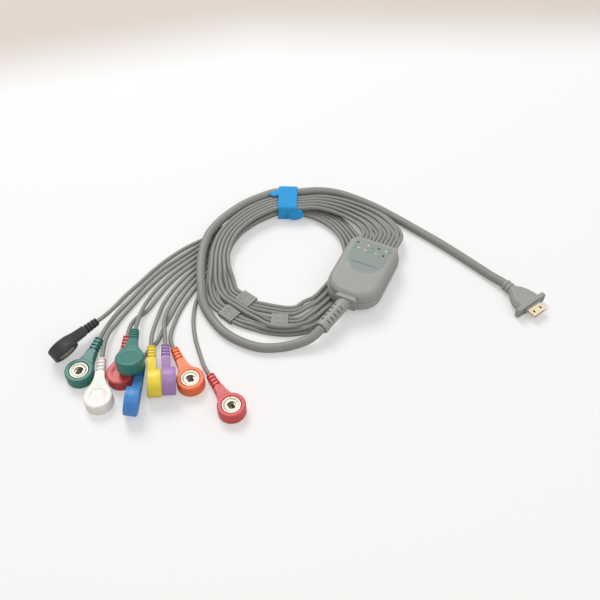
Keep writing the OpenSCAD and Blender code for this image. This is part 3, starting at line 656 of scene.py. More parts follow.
@dataclass(frozen=True)
class Moulded:
    """Injection-moulded plastic: an even colour with the faint mottle and grain of the tool's surface."""

    name: str
    colour: str
    rough: float = 0.42
    grain_mm: float = 0.35
    grain: float = 0.12
    mottle: float = 0.05
    mottle_mm: float = 6.25
    depth_mm: float = 0.05

    def material(self) -> bpy.types.Material:
        """The material: mottle in the colour, and grain in the gloss and the relief.

        Returns:
            The material.
        """
        make = Recipe(self.name)
        cloud = make.add("TexNoise", {"Vector": make.place, "Scale": 1 / (self.mottle_mm * MM),
                                      "Detail": 3.0})
        colour = make.add("Mix", {0: cloud.outputs["Fac"], 6: linear(self.colour, 1 - 2 * self.mottle),
                                  7: linear(self.colour, 1 + self.mottle)}, data_type="RGBA")
        # One cycle of the noise is a rise and a hollow, two grains long. A real tool's grain is finer, and
        # this is as coarse as it needs to be to show.
        fine = make.add("TexNoise", {"Vector": make.place, "Scale": 0.5 / (self.grain_mm * MM),
                                     "Detail": 2.0})
        gloss = make.add("MapRange", {"Value": fine.outputs["Fac"], "To Min": self.rough - 0.05,
                                      "To Max": self.rough + 0.06})
        relief = make.add("Bump", {"Height": fine.outputs["Fac"], "Strength": self.grain,
                                   "Distance": self.depth_mm * MM})
        return make.done({"Base Color": colour.outputs[2], "Roughness": gloss.outputs["Result"],
                          "Normal": relief.outputs["Normal"], "IOR": 1.49})


@dataclass(frozen=True)
class Jacket:
    """Extruded cable jacket: satin elastomer with long faint drag marks and a soft bloom."""

    name: str
    colour: str
    rough: float = 0.46
    mark_w_mm: float = 0.4
    mark_l_mm: float = 20.0
    bloom_mm: float = 22.22
    share: float = 0.45

    def material(self) -> bpy.types.Material:
        """The material: marks that run along the cord by its own UV map, which is in millimetres.

        Returns:
            The material.
        """
        make = Recipe(self.name)
        # U is round the cord and V along it, so the noise has one cycle in a mark's width and length.
        stretch = make.add("Mapping", {"Vector": make.add("TexCoord").outputs["UV"],
                                       "Scale": (1 / self.mark_w_mm, 1 / self.mark_l_mm, 1.0)})
        drag = make.add("TexNoise", {"Vector": stretch.outputs["Vector"], "Scale": 1.0, "Detail": 2.0})
        cloud = make.add("TexNoise", {"Vector": make.place, "Scale": 1 / (self.bloom_mm * MM),
                                      "Detail": 2.0})
        both = make.add("Math", {0: drag.outputs["Fac"], 1: self.share, 2: cloud.outputs["Fac"]},
                        operation="MULTIPLY_ADD")
        level = make.add("Math", {0: both.outputs[0], 1: 1 + self.share}, operation="DIVIDE")
        colour = make.add("Mix", {0: level.outputs[0], 6: linear(self.colour, 0.86),
                                  7: linear(self.colour, 1.1)}, data_type="RGBA")
        relief = make.add("Bump", {"Height": drag.outputs["Fac"], "Strength": 0.15, "Distance": 0.05 * MM})
        return make.done({"Base Color": colour.outputs[2], "Normal": relief.outputs["Normal"],
                          "Roughness": self.rough, "IOR": 1.5})


@dataclass(frozen=True)
class Plated:
    """Pressed and plated metal: a bright mirror broken by fine press marks."""

    name: str
    colour: str
    rough: float = 0.22
    mark_mm: float = 1.111

    def material(self) -> bpy.types.Material:
        """The material: the press marks in its colour, its gloss and its relief.

        Returns:
            The material.
        """
        make = Recipe(self.name)
        # Real press marks are finer, and these are drawn coarse enough to show.
        marks = make.add("TexNoise", {"Vector": make.place, "Scale": 1 / (self.mark_mm * MM),
                                      "Detail": 3.0}).outputs["Fac"]
        gloss = make.add("MapRange", {"Value": marks, "To Min": self.rough - 0.07,
                                      "To Max": self.rough + 0.1})
        colour = make.add("Mix", {0: marks, 6: linear(self.colour, 0.85), 7: linear(self.colour)},
                          data_type="RGBA")
        relief = make.add("Bump", {"Height": marks, "Strength": 0.08, "Distance": 0.03 * MM})
        return make.done({"Base Color": colour.outputs[2], "Roughness": gloss.outputs["Result"],
                          "Normal": relief.outputs["Normal"], "Metallic": 1.0})


@dataclass(frozen=True)
class LoopCloth:
    """Knitted loop pile of a hook-and-loop strap: a matt fuzz of small loops, pale at its rim."""

    name: str
    colour: str
    loop_mm: float = 0.55

    def material(self) -> bpy.types.Material:
        """The material: a cell for each loop, broken up by a fuzz about three loops wide.

        Returns:
            The material.
        """
        make = Recipe(self.name)
        scale = 1 / (self.loop_mm * MM)
        loops = make.add("TexVoronoi", {"Vector": make.place, "Scale": scale})
        fuzz = make.add("TexNoise", {"Vector": make.place, "Scale": scale * 0.35, "Detail": 4.0})
        tone = make.add("Math", {0: loops.outputs["Distance"], 1: -0.55, 2: fuzz.outputs["Fac"]},
                        operation="MULTIPLY_ADD")
        near = make.add("MapRange", {"Value": tone.outputs[0], "From Min": 0.0, "From Max": 0.6})
        colour = make.add("Mix", {0: near.outputs["Result"], 6: linear(self.colour, 0.78),
                                  7: linear(self.colour, 1.12, 0.01)}, data_type="RGBA")
        relief = make.add("Bump", {"Height": tone.outputs[0], "Strength": 0.55, "Distance": 0.2 * MM})
        return make.done({"Base Color": colour.outputs[2], "Normal": relief.outputs["Normal"],
                          "Roughness": 0.9, "Sheen Weight": 0.12, "Sheen Roughness": 0.5})


class Finish(Enum):
    """Every finish on the cable."""

    # Moulded ABS, elastomer and nylon: dull and even, with the fine grain of an etched tool.
    HOUSING = Moulded("moulded_abs_grey", "A3A6A4", 0.5, 0.3, 0.2, 0.03)
    GRIP = Moulded("moulded_elastomer_grey", "A3A5A1", 0.48, 0.3, 0.15, 0.04)
    DIVIDER = Moulded("moulded_nylon_grey", "9DA09C", 0.5, 0.3, 0.3, 0.06)
    # Solder mask and fired lacquer: smoother, so they shine more.
    BOARD = Moulded("solder_mask_green", "2C6B45", 0.35, 0.5, 0.1, 0.08)
    RESISTOR = Moulded("lacquered_ceramic", "C2AE84", 0.35, 0.4, 0.05, 0.06)
    # A glass-filled contact carrier: near black, and dull. The same black lines the plug shell's cavity as
    # painted shade.
    CARRIER_AND_SHADE = Moulded("contact_carrier_and_shade_black", "26272A", 0.4, 0.3, 0.1, 0.05)
    # Printed film and inks: flat colours with almost no grain.
    LABEL = Moulded("satin_print_sage", "8E9B96", 0.46, 0.5, 0.05, 0.02)
    BAR = Moulded("printed_bar_green", "6A817A", 0.5, 0.5, 0.02, 0.02)
    DOT_BLACK = Moulded("printed_dot_black", "15181B", 0.5, 0.5, 0.02, 0.02)
    DOT_WHITE = Moulded("printed_dot_white", "DCDED8", 0.5, 0.5, 0.02, 0.02)
    DOT_RED = Moulded("printed_dot_red", "AB9391", 0.5, 0.5, 0.02, 0.02)
    DOT_GREEN = Moulded("printed_dot_green", "6B8C81", 0.5, 0.5, 0.02, 0.02)
    # Coloured vinyl from a polished tool: deep clean colour with a soft gloss.
    SNAP_RED = Moulded("moulded_vinyl_red", "DA5151", 0.36)
    SNAP_ORANGE = Moulded("moulded_vinyl_orange", "F87A42", 0.36)
    SNAP_BLUE = Moulded("moulded_vinyl_blue", "4690DC", 0.36)
    SNAP_VIOLET = Moulded("moulded_vinyl_violet", "B089C2", 0.36)
    SNAP_YELLOW = Moulded("moulded_vinyl_yellow", "FFE246", 0.36)
    SNAP_GREEN = Moulded("moulded_vinyl_green", "367F76", 0.36)
    SNAP_WHITE = Moulded("moulded_vinyl_white", "FCF9F2", 0.38)
    SNAP_BLACK = Moulded("moulded_vinyl_black", "2E3134", 0.4)
    # Extruded elastomer: satin, with marks along the cord.
    JACKET = Jacket("extruded_jacket_grey", "92938E")
    # Nickel on brass, a darker and duller copy of it inside the cup as painted shade, bare spring steel,
    # and a thin flash of gold.
    NICKEL = Plated("nickel_plate", "CBC4B6", 0.33)
    CUP = Plated("nickel_cup_in_shade", "BDB3A2", 0.45)
    WIRE = Plated("spring_wire", "DAD7D0", 0.25)
    GOLD = Plated("gold_flash", "FAE8CC", 0.26)
    # Dyed nylon loops: matt and bright.
    LOOP = LoopCloth("loop_pile_blue", "2FABF5")


SNAP_FINISH = {"red_low": Finish.SNAP_RED, "red_high": Finish.SNAP_RED, "orange": Finish.SNAP_ORANGE,
               "blue": Finish.SNAP_BLUE, "violet": Finish.SNAP_VIOLET, "yellow": Finish.SNAP_YELLOW,
               "teal": Finish.SNAP_GREEN, "green": Finish.SNAP_GREEN, "white": Finish.SNAP_WHITE,
               "black": Finish.SNAP_BLACK}


@dataclass
class Workshop:
    """Makes pieces and keeps the materials that they share."""

    frame: dict[str, Any]
    made: dict[Finish, bpy.types.Material] = field(default_factory=dict)

    def dress(self, obj: bpy.types.Object, finish: Finish) -> None:
        """Gives a piece or a node one finish all over, whose material is built once.

        Args:
            obj: the piece or node.
            finish: what it is made of.
        """
        if finish not in self.made:
            self.made[finish] = finish.value.material()
        obj.data.materials.clear()
        obj.data.materials.append(self.made[finish])

    def piece(self, name: str, shape: Surface | bpy.types.Mesh, finish: Finish, slot: str,
              nodes: Sequence[str] = (), body: str = "cable", sharp: float = 35.0) -> bpy.types.Object:
        """Makes a piece, dresses it, hangs it on its body and logs it.

        Args:
            name: the piece's name.
            shape: its surface on the table, or its finished mesh.
            finish: what it is made of.
            slot: the record's material slot; not used.
            nodes: the CAD nodes that it stands for.
            body: the CAD body that carries it.
            sharp: edges that turn by more than this many degrees stay crisp.

        Returns:
            The object.
        """
        mesh = shape.mesh(name) if isinstance(shape, Surface) else shape
        mesh.shade_smooth()
        mesh.set_sharp_from_angle(angle=math.radians(sharp))
        obj = bpy.data.objects.new(name, mesh)
        bpy.context.scene.collection.objects.link(obj)
        self.dress(obj, finish)
        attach(obj, body)
        if nodes:
            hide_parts(*nodes)
        log.info("%s: %d faces on %s", name, len(mesh.polygons), body)
        return obj

    def eased(self, name: str, node: str, finish: Finish, slot: str, ease_mm: float,
              body: str = "cable") -> bpy.types.Object:
        """A node's own form with its doubles merged and its edges eased by a bevel.

        Args:
            name: the piece's name.
            node: the CAD node that it copies and replaces.
            finish: what it is made of.
            slot: the record's material slot.
            ease_mm: the width of the bevel.
            body: the CAD body that carries it.

        Returns:
            The object.
        """
        mesh = self.frame["nodes"][node].data.copy()
        mesh.name = name
        work = bmesh.new()
        work.from_mesh(mesh)
        bmesh.ops.remove_doubles(work, verts=work.verts, dist=0.002 * MM)
        bmesh.ops.dissolve_limit(work, angle_limit=math.radians(2), verts=work.verts, edges=work.edges)
        work.to_mesh(mesh)
        work.free()
        obj = self.piece(name, mesh, finish, slot, [node], body, 40.0)
        bevel = obj.modifiers.new("eased_edges", "BEVEL")
        bevel.width = ease_mm * MM
        bevel.segments = 2
        bevel.limit_method = "ANGLE"
        bevel.angle_limit = math.radians(38)
        return obj


# ---------------------------------------------------------------- cords

@dataclass
class CordSet:
    """The trunk cable and the ten leads, each a round tube along its route."""

    shop: Workshop
    trunk_step: float = 1.8
    trunk_sides: int = 28
    lead_step: float = 1.3
    lead_sides: int = 16
    made: dict[str, tuple[bpy.types.Object, Array]] = field(default_factory=dict)

    def cord(self, name: str, route: Array, d: float, sides: int, step: float) -> None:
        """Makes one cord and keeps it with its path.

        The UV map holds the distance round the cord and the distance along it, in millimetres.

        Args:
            name: the CAD node that it replaces.
            route: the points that it passes.
            d: its diameter.
            sides: the points in a ring.
            step: the distance between two rings.
        """
        path = smooth(route, step)
        skin = tube(path, d / 2, sides)
        obj = self.shop.piece(name + "_jacket", skin, Finish.JACKET, "cord", [name], sharp=60)
        run = np.concatenate([[0], np.cumsum(np.linalg.norm(np.diff(path, axis=0), axis=1))])
        corner = np.zeros(len(obj.data.loops), np.int32)
        obj.data.loops.foreach_get("vertex_index", corner)
        # The middles of the two end caps come after the rings and take the last ring's distance.
        ring = np.minimum(corner, len(path) * sides - 1) // sides
        side = corner % sides
        spots = np.column_stack([side * math.pi * d / sides, run[ring]])
        layer = obj.data.uv_layers.new(name="run")
        layer.data.foreach_set("uv", spots.ravel().astype(np.float32))
        self.made[name] = (obj, path)

    def build(self) -> None:
        """Makes all the cords."""
        self.cord("trunk_cable", trunk_route(), TRUNK_D, self.trunk_sides, self.trunk_step)
        for rank, snap in enumerate(SNAPS):
            self.cord("lead_" + snap.name, lead_route(rank), LEAD_D, self.lead_sides, self.lead_step)


# ---------------------------------------------------------------- junction box

# Printed marks on the label: each is (x, y, half width, half length) in the box's own plan.
LABEL_MARKS = {
    Finish.DOT_BLACK: ((-9.9, 17.6, 0.75, 0.75), (3.9, 17.3, 0.75, 0.75), (8.5, 12.8, 0.75, 0.75)),
    Finish.DOT_WHITE: (
        (-3.0, 17.5, 0.65, 0.55), (-8.1, 13.1, 0.7, 0.55), (-3.4, 12.9, 0.7, 0.45),
        (8.7, 17.2, 0.65, 0.65), (3.6, 12.6, 0.7, 0.45)),
    Finish.DOT_RED: (
        (-6.7, 16.9, 1.5, 1.6), (-5.6, 13.9, 1.2, 1.5), (-5.2, 11.2, 0.6, 0.8), (5.7, 13.6, 0.9, 1.2),
        (10.9, 12.0, 1.0, 1.2), (9.4, 10.2, 0.7, 0.9)),
    Finish.DOT_GREEN: (
        (-10.0, 12.5, 0.8, 0.7), (-10.3, 14.6, 0.6, 0.5), (0.1, 16.1, 0.9, 0.8), (-1.1, 12.1, 0.8, 0.7),
        (0.9, 12.6, 0.6, 0.6), (10.9, 17.2, 0.9, 0.5), (6.6, 11.0, 0.9, 0.4), (1.0, 17.9, 0.6, 0.4),
        (-1.9, 15.6, 0.4, 0.3), (1.9, 16.9, 0.4, 0.3), (2.3, 14.4, 0.45, 0.3), (0.6, 14.3, 0.4, 0.3),
        (-2.1, 14.2, 0.4, 0.3), (6.0, 16.6, 0.45, 0.3), (-9.3, 16.0, 0.4, 0.3), (4.9, 15.4, 0.4, 0.3),
        (7.1, 15.1, 0.4, 0.3), (2.3, 11.7, 0.4, 0.3), (-7.0, 11.9, 0.4, 0.3), (-9.0, 11.6, 0.4, 0.3)),
    Finish.BAR: ((-0.2, 1.6, 8.7, 0.42),),
}


@dataclass
class JunctionBox:
    """Two moulded shells, the label on the upper one, the board inside, the comb and the boot."""

    shop: Workshop
    front_r: float = 7.0
    back_r: float = 14.0
    bevel_w: float = 2.2
    bevel_h: float = 2.0
    # Half the gap between the shells, how far the upper one's side stands back there and at its bevel,
    # the chamfer under the lower one, and the lip in the seam.
    seam: float = 0.05
    stand: float = 0.45
    draft: float = 0.9
    foot: float = 0.9
    lip: float = 3.0
    label_w: float = 24.4
    label_y: float = 8.4
    label_gap: float = 4.4
    label_r: float = 1.2
    label_end: float = 1.11
    label_up: float = 0.04
    print_up: float = 0.08

    def plan(self) -> Outline:
        """The plan of the box: straight sides, with small corners at the leads and large ones behind.

        Returns:
            The outline.
        """
        x, y, front, back = BOX_W / 2, BOX_L / 2, self.front_r, self.back_r
        corners = [arc(x - front, y - front, front, 0, 90, 16),
                   arc(-x + front, y - front, front, 90, 180, 16),
                   arc(-x + back, -y + back, back, 180, 270, 26),
                   arc(x - back, -y + back, back, 270, 360, 26)]
        return Outline.joined(corners, 8)

    def shells(self) -> None:
        """The two shells: a profile of (inset, height) carried round the outline, and closed over."""
        over, under, flat = SEAM_Z + self.seam, SEAM_Z - self.seam, 6.4
        upper = [(self.lip, over, 0), (self.stand, over, 0.25), (self.draft, BOX_T - self.bevel_h, 1.1),
                 (self.draft + self.bevel_w, BOX_T, 1.3), (flat, BOX_T, 0)]
        lower = [(flat, 0, 0), (self.foot, 0, 0.5), (0, self.foot, 0.6), (0, under, 0.35),
                 (self.lip, under, 0)]
        for name, node, profile in (("upper_shell", "housing_top", upper),
                                    ("lower_shell", "housing_bottom", lower)):
            shell = self.plan().skin(rounded(profile, 6))
            self.shop.piece(name, shell.moved(at_box), Finish.HOUSING, "housing", [node])

    def label(self) -> None:
        """The label: a flat field with one end drawn out round, and on it plain dots and a bar."""
        w, top, r = self.label_w / 2, BOX_L / 2 - self.label_gap, self.label_r
        end = arc(0, 0, w, 180, 360, 40) * [1, self.label_end] + [0, self.label_y]
        plan = Outline.through(np.vstack([end, arc(w - r, top - r, r, 0, 90, 6),
                                          arc(-w + r, top - r, r, 90, 180, 6)]))
        high = BOX_T + self.label_up
        rise = rounded([(0.0, BOX_T - 0.3, 0), (0.0, high, 0.06), (1.0, high, 0)], 3)
        self.shop.piece("label_field", plan.skin(rise).moved(at_box), Finish.LABEL, "label",
                        ["label_panel"])
        for finish, spots in LABEL_MARKS.items():
            marks = Surface.of([self.mark(*spot) for spot in spots])
            self.shop.piece(finish.value.name, marks, finish, "label")

    def mark(self, x: float, y: float, reach_x: float, reach_y: float) -> Surface:
        """A printed oval with a soft edge: its plan is (x + reach_x cos a, y + reach_y sin a).

        Args:
            x: its middle across the label.
            y: its middle along the label.
            reach_x: half its width.
            reach_y: half its length.

        Returns:
            The surface, on the table.
        """
        a, high = round_turn(20), BOX_T + self.print_up
        plan = Outline.through(np.column_stack([x + reach_x * np.cos(a), y + reach_y * np.sin(a)]))
        return plan.skin(rounded([(0, BOX_T, 0), (0, high, 0.04), (0.2, high, 0)], 2)).moved(at_box)

    def build(self) -> None:
        """Makes the box, and dresses the nodes that keep their own form."""
        self.shells()
        self.label()
        self.shop.eased("boot", "trunk_boot", Finish.GRIP, "boot", 0.22)
        self.shop.eased("lead_comb", "lead_grommet", Finish.HOUSING, "grommet", 0.1)
        nodes = self.shop.frame["nodes"]
        self.shop.dress(nodes["circuit_board"], Finish.BOARD)
        self.shop.dress(nodes["protection_resistors"], Finish.RESISTOR)


# ---------------------------------------------------------------- plug

def upright(p: Array) -> Array:
    """Plan points turned up, so that their plan stands in X and Z and their height runs along Y."""
    return np.stack([-p[..., 0], p[..., 2], p[..., 1]], -1)


@dataclass
class Plug:
    """The moulded grip with its eared flange, the gold shell and the contacts in it, and a dark liner of
    painted shade in the shell.
    """

    shop: Workshop
    flange_w: float = 23.2
    flange_h: float = 7.6
    flange_t: float = 2.78
    ear_r: float = 1.2
    ear_z: float = 2.25
    waist_x: float = 5.4
    waist_r: float = 1.4
    band: float = 0.5
    # The boss round the shell, to the middles of its corners, and their radius.
    boss_x: float = 5.3
    boss_z: float = 1.4
    boss_r: float = 0.8
    grip_w: float = 17.8
    grip_h: float = 7.2
    neck_r: float = 3.5
    # The dark liner in the shell's cavity, painted shade for the opening: its width, height, corner cut and
    # thickness.
    liner_w: float = 9.8
    liner_h: float = 1.8
    liner_cut: float = 0.78
    liner_t: float = 0.14

    def flange(self) -> Surface:
        """The flange, with a sunk band in its front, and the boss round the shell: each a profile of
        (inset, distance along Y) carried round its outline.

        Returns:
            The surface.
        """
        ear, x, z = self.ear_r, self.flange_w / 2 - self.ear_r, self.ear_z
        bend, waist, flat = self.waist_r, self.waist_x, self.flange_h / 2 - self.waist_r
        corners = [(-x, -z, ear, 180, 266), (-waist, -flat, bend, 266, 270), (waist, -flat, bend, 270, 274),
                   (x, -z, ear, 274, 360), (x, z, ear, 0, 86), (waist, flat, bend, 86, 90),
                   (-waist, flat, bend, 90, 94), (-x, z, ear, 94, 180)]
        plan = Outline.joined([arc(*c, 6) for c in corners], 6)
        side = rounded([(2.4, -self.flange_t, 0), (0, -self.flange_t, 0.5), (0, 0, 0.35), (0.75, 0, 0.12),
                        (0.95, -self.band, 0.12), (1.9, -self.band, 0)], 4)
        x, z, r = self.boss_x, self.boss_z, self.boss_r
        boss = Outline.joined([arc(i, j, r, turn, turn + 90, 5) for i, j, turn in
                               ((x, z, 0), (-x, z, 90), (-x, -z, 180), (x, -z, 270))], 6)
        lip = rounded([(0.7, -1.5, 0), (0, -1.5, 0), (0, 0.95, 0.2), (0.7, 0.95, 0)], 3)
        return plan.skin(side).moved(upright) + boss.skin(lip).moved(upright)

    def grip(self) -> Surface:
        """The grip: a flat-topped section that narrows along a smooth side line to a round neck.

        The section's point at y is (x w(y) / w, z), blended by a smooth step into a circle of the neck's
        radius at the same polar angle between y = -13.4 and -16.2.

        Returns:
            The surface, from the flange back to the neck.
        """
        w, h = self.grip_w / 2, self.grip_h / 2
        side = smooth(np.array([(w, -1, 0), (w, -4, 0), (8.63, -6.2, 0), (8, -8.6, 0), (6.76, -11, 0),
                                (5.16, -13.2, 0), (3.9, -15, 0), (3.45, -16.6, 0)], float), 0.5)
        quarter = rounded([(w, 0, 0), (w, 1.1, 0.9), (6.3, h, 1.1), (0, h, 0)], 7)
        flat = np.linspace(quarter[-2, 0], 0, 6)[1:]
        quarter = np.vstack([quarter[:-1], np.column_stack([flat, np.full(5, h)])])
        half = np.vstack([quarter, quarter[-2::-1] * [-1, 1]])
        section = np.vstack([half, half[-2:0:-1] * [1, -1]])
        round_at, blend = -16.2, 2.8
        t = np.clip((side[:, 1] - round_at) / blend, 0, 1)
        t = (t * t * (3 - 2 * t))[:, None]
        x = section[:, 0] * side[:, :1] / w
        polar = np.arctan2(section[:, 1], x)
        rings = np.stack([t * x + (1 - t) * self.neck_r * np.cos(polar), side[:, 1:2] + 0 * x,
                          t * section[:, 1] + (1 - t) * self.neck_r * np.sin(polar)], -1)
        return loft(rings)

    def neck(self) -> Surface:
        """The neck with its two grooves: a profile of (radius, y) carried round Y.

        Returns:
            The surface.
        """
        r, low = self.neck_r, self.neck_r - 0.5
        line = rounded([(0.1, -15.5, 0), (r, -15.5, 0), (r, -16.7, 0.12), (low, -16.7, 0),
                        (low, -17.5, 0), (r, -17.5, 0.12), (r, -19.3, 0.12), (low, -19.3, 0),
                        (low, -20.1, 0), (r, -20.1, 0.12), (r, -GRIP_L, 0.3), (2.85, -GRIP_L, 0)], 3)
        return revolve(line, 40).moved(upright)

    def shade_liner(self) -> Surface:
        """A dark liner on the walls of the shell's cavity, painted shade for the opening: a profile of
        (inset, distance along Y) round the keyed outline.

        Returns:
            The surface, closed at both ends.
        """
        w, h, cut, t = self.liner_w / 2, self.liner_h / 2, self.liner_cut, self.liner_t
        corners = np.array([(-w, -h + cut), (-w + cut, -h), (w - cut, -h), (w, -h + cut), (w, h), (-w, h)])
        way = np.roll(corners, -1, 0) - corners
        line = (corners[:, None] + way[:, None] * np.linspace(0.02, 0.98, 6)[None, :, None]).reshape(-1, 2)
        profile = np.array([(0, 0.2), (0, 6.35), (t, 6.35), (t, 0.35)])
        return Outline.through(line).skin(profile).moved(upright)

    def build(self) -> list[bpy.types.Object]:
        """Makes the plug.

        Returns:
            Its pieces.
        """
        nodes = self.shop.frame["nodes"]
        whole = self.flange() + self.grip() + self.neck()
        grip = self.shop.piece("plug_grip", whole.moved(at_plug), Finish.GRIP, "plug", ["plug_overmould"])
        shell = self.shop.eased("plug_shell_plated", "plug_shell", Finish.GOLD, "gold", 0.06)
        # A sheet in the carrier's black lines the shell's cavity: painted shade in the opening.
        shade_liner = self.shop.piece("plug_shade_liner", self.shade_liner().moved(at_plug), Finish.CARRIER_AND_SHADE, "insulator")
        self.shop.dress(nodes["plug_tongue"], Finish.CARRIER_AND_SHADE)
        self.shop.dress(nodes["plug_contacts"], Finish.GOLD)
        return [grip, shell, shade_liner, nodes["plug_tongue"], nodes["plug_contacts"]]


# ---------------------------------------------------------------- snap connectors

@dataclass
class SnapConnector:
    """A moulded disc with a flared neck and a grooved tail, and a pressed socket with its wire spring."""

    shop: Workshop
    place: SnapPlace
    disc_r: float = 7.9
    edge: float = 0.9
    neck_edge: float = 0.35
    flare_r: float = 18.0
    neck_w: float = 5.4
    neck_corner: float = 0.7
    # The thumb recess under the disc, from its middle out: radius, depth and tilt of each ring.
    recess: tuple[tuple[float, float, float], ...] = (
        (2.2, 0.22, 0.06), (4.3, 0.2, 0.12), (4.62, 0.05, 0.0), (4.85, 0.0, 0.0))
    pocket_r: float = 3.95
    pocket_z: float = -1.65
    relief_l: float = 9.8
    tail_r: float = 2.3
    grooves: int = 4
    groove_step: float = 2.35
    groove_w: float = 1.0
    wire_r: float = 0.3
    spring_r: float = 1.95

    def plan(self) -> Outline:
        """The disc with its neck: two arcs of the flare radius touch the disc and the neck's sides.

        Returns:
            The outline, with the disc's middle at (0, 0) and the neck along +Y.
        """
        r, f, half, c = self.disc_r, self.flare_r, self.neck_w / 2, self.neck_corner
        cx = half + f
        cy = math.sqrt((r + f) ** 2 - cx**2)
        touch = math.degrees(math.atan2(cy, cx))
        right = arc(cx, cy, f, 180 + touch, 180, 18)
        end = TAIL_Y - self.relief_l + 0.4 - c
        line = np.vstack([arc(0, 0, r, 180 - touch, 360 + touch, 76), right[1:],
                          arc(half - c, end, c, 0, 90, 5), arc(c - half, end, c, 90, 180, 5),
                          (right * [-1, 1])[::-1][:-1]])
        return Outline.through(line)

    def plate(self) -> Surface:
        """The plate: rings round the outline, a shallow thumb recess under it and the cup's pocket above.

        Returns:
            The surface, from the middle of its underside to the middle of the pocket's floor.
        """
        plan = self.plan()
        angle = np.arctan2(plan.line[:, 1], plan.line[:, 0])
        low, top = -SNAP_T / 2, -SNAP_T / 2 + NECK_T
        rings = [circle(angle, r, low + deep + tilt * np.sin(angle)) for r, deep, tilt in self.recess]
        # The lower edge's fillet shrinks from the disc to the neck, and only the neck has an upper one.
        edge = np.interp(plan.line[:, 1], [2, 9], [self.edge, self.neck_edge])
        rings += [plan.ring(edge * (1 - math.sin(t)), low + edge * (1 - math.cos(t)))
                  for t in np.radians(np.linspace(0, 90, 7))]
        on_neck = (plan.line[:, 1] > 6.8) * 0.45
        rings += [plan.ring(on_neck * (1 - math.cos(t)), top - on_neck * (1 - math.sin(t)))
                  for t in np.radians(np.linspace(0, 90, 5))]
        rings += [plan.ring(on_neck + 0.2, top), circle(angle, 5.4, top), circle(angle, self.pocket_r, top),
                  circle(angle, self.pocket_r, self.pocket_z), circle(angle, 2, self.pocket_z)]
        return loft(np.stack(rings))

    def rim(self) -> Surface:
        """The raised rim round the socket: a closed profile of (radius, height) carried round.

        Returns:
            The surface, a ring.
        """
        r, e, h = self.disc_r, self.edge, SNAP_T / 2
        profile = rounded([(6.2, 1.0, 0), (r - 0.02, 1.0, 0), (r, h, e), (5.85, h, 0.25),
                           (5.3, h - 0.3, 0.15), (5.3, 1.0, 0), (5.8, 1.0, 0)], 6)
        return revolve(profile, 96, closed=True)

    def relief(self) -> Surface:
        """The grooved tail: rings along Y whose half width and height taper and drop into grooves.

        A ring is a superellipse of power 4, the moulded tail's rounded square.

        Returns:
            The surface, closed at both ends.
        """
        start, w, soft = TAIL_Y - self.relief_l, self.groove_w, 0.12
        y, grow = [start - 0.6], [0.0]
        for i in range(self.grooves):
            lip = start + 0.9 + self.groove_step * i
            y += [lip - soft, lip, lip + soft, lip + w - soft, lip + w, lip + w + soft]
            grow += [0.0, -0.25, -1.0, -1.0, -0.25, 0.0]
        y, grow = np.array(y + [TAIL_Y - 0.3, TAIL_Y - 0.08, TAIL_Y]), np.array(grow + [0.0, -0.15, -0.4])
        half = np.interp(y, [start, TAIL_Y], [self.neck_w / 2, self.tail_r]) + grow * 0.75
        high = np.interp(y, [start, TAIL_Y], [NECK_T / 2, self.tail_r]) + grow * 0.65
        c, s = (squared(wave(round_turn(32)), 0.5) for wave in (np.cos, np.sin))
        return loft(np.stack([half[:, None] * c, y[:, None] + 0 * c, WIRE_Z + high[:, None] * s], -1))

    def socket(self) -> Surface:
        """The pressed socket: a rolled rim, a dish down to the stud hole, and the cup below it.

        Returns:
            The surface: a profile of (radius, height) carried round, closed under the cup.
        """
        profile = rounded([(3.9, -1.6, 0.3), (3.9, 2.65, 0.2), (5.15, 2.95, 0.1), (5.2, 3.5, 0.2),
                           (4.75, 3.62, 0.2), (3.2, 3.0, 0.3), (2.85, 3.15, 0.15), (2.5, 3.05, 0.15),
                           (2.5, 2.2, 0.05), (2.85, 2.2, 0.05), (2.95, 2.5, 0.1), (3.5, 2.5, 0.1),
                           (3.5, -1.2, 0.2), (0.4, -1.2, 0)], 3)
        inner = profile[::-1][1:-1]
        return revolve(np.vstack([[[0.02, -1.2]], inner, [[3.6, -1.6]], [[0.02, -1.6]]]), 72)

    def cup(self) -> Surface:
        """The cup's lining: (radius, height) over the domed stop in its floor and up its wall. Its darker
        nickel is painted shade in the stud hole.
        """
        line = rounded([(0.02, -0.1, 0), (1.1, -0.25, 0.5), (1.5, -1.15, 0.15), (3.43, -1.15, 0.25),
                        (3.43, 2.42, 0), (3.49, 2.42, 0), (3.49, -1.19, 0), (0.02, -1.19, 0)], 4)
        return revolve(line, 48)

    def spring(self) -> Surface:
        """The bent wire behind the hole: a leg, half a turn and a leg, as a tube.

        Returns:
            The surface.
        """
        r, end = self.spring_r, 1.1
        leg = np.linspace(-2.5, end, 8)[:, None]
        a = np.linspace(0, math.pi, 25)[:, None]
        path = np.vstack([np.hstack([0 * leg + r, leg, 0 * leg]),
                          np.hstack([r * np.cos(a), end + r * np.sin(a), 0 * a])[1:-1],
                          np.hstack([0 * leg - r, leg[::-1], 0 * leg])])
        return tube(path, self.wire_r, 10).moved(lambda p: p + np.array([0, 0, 1.83]))

    def build(self) -> list[bpy.types.Object]:
        """Makes the connector.

        Returns:
            Its pieces.
        """
        name = self.place.name
        body = self.plate() + self.rim() + self.relief()
        slot = "snap_red" if name.startswith("red") else "snap_" + name
        rows = (("snap_", body, SNAP_FINISH[name], slot, ["snap_body_" + name]),
                ("socket_", self.socket(), Finish.NICKEL, "socket", ["snap_socket_" + name]),
                # The cup's lining wears a darker copy of the nickel: painted shade in the stud hole.
                ("cup_", self.cup(), Finish.CUP, "socket", ()),
                ("spring_", self.spring(), Finish.WIRE, "spring", ["snap_spring_" + name]))
        return [self.shop.piece(kind + name, surface.moved(self.place.put), *rest)
                for kind, surface, *rest in rows]


# ---------------------------------------------------------------- tie

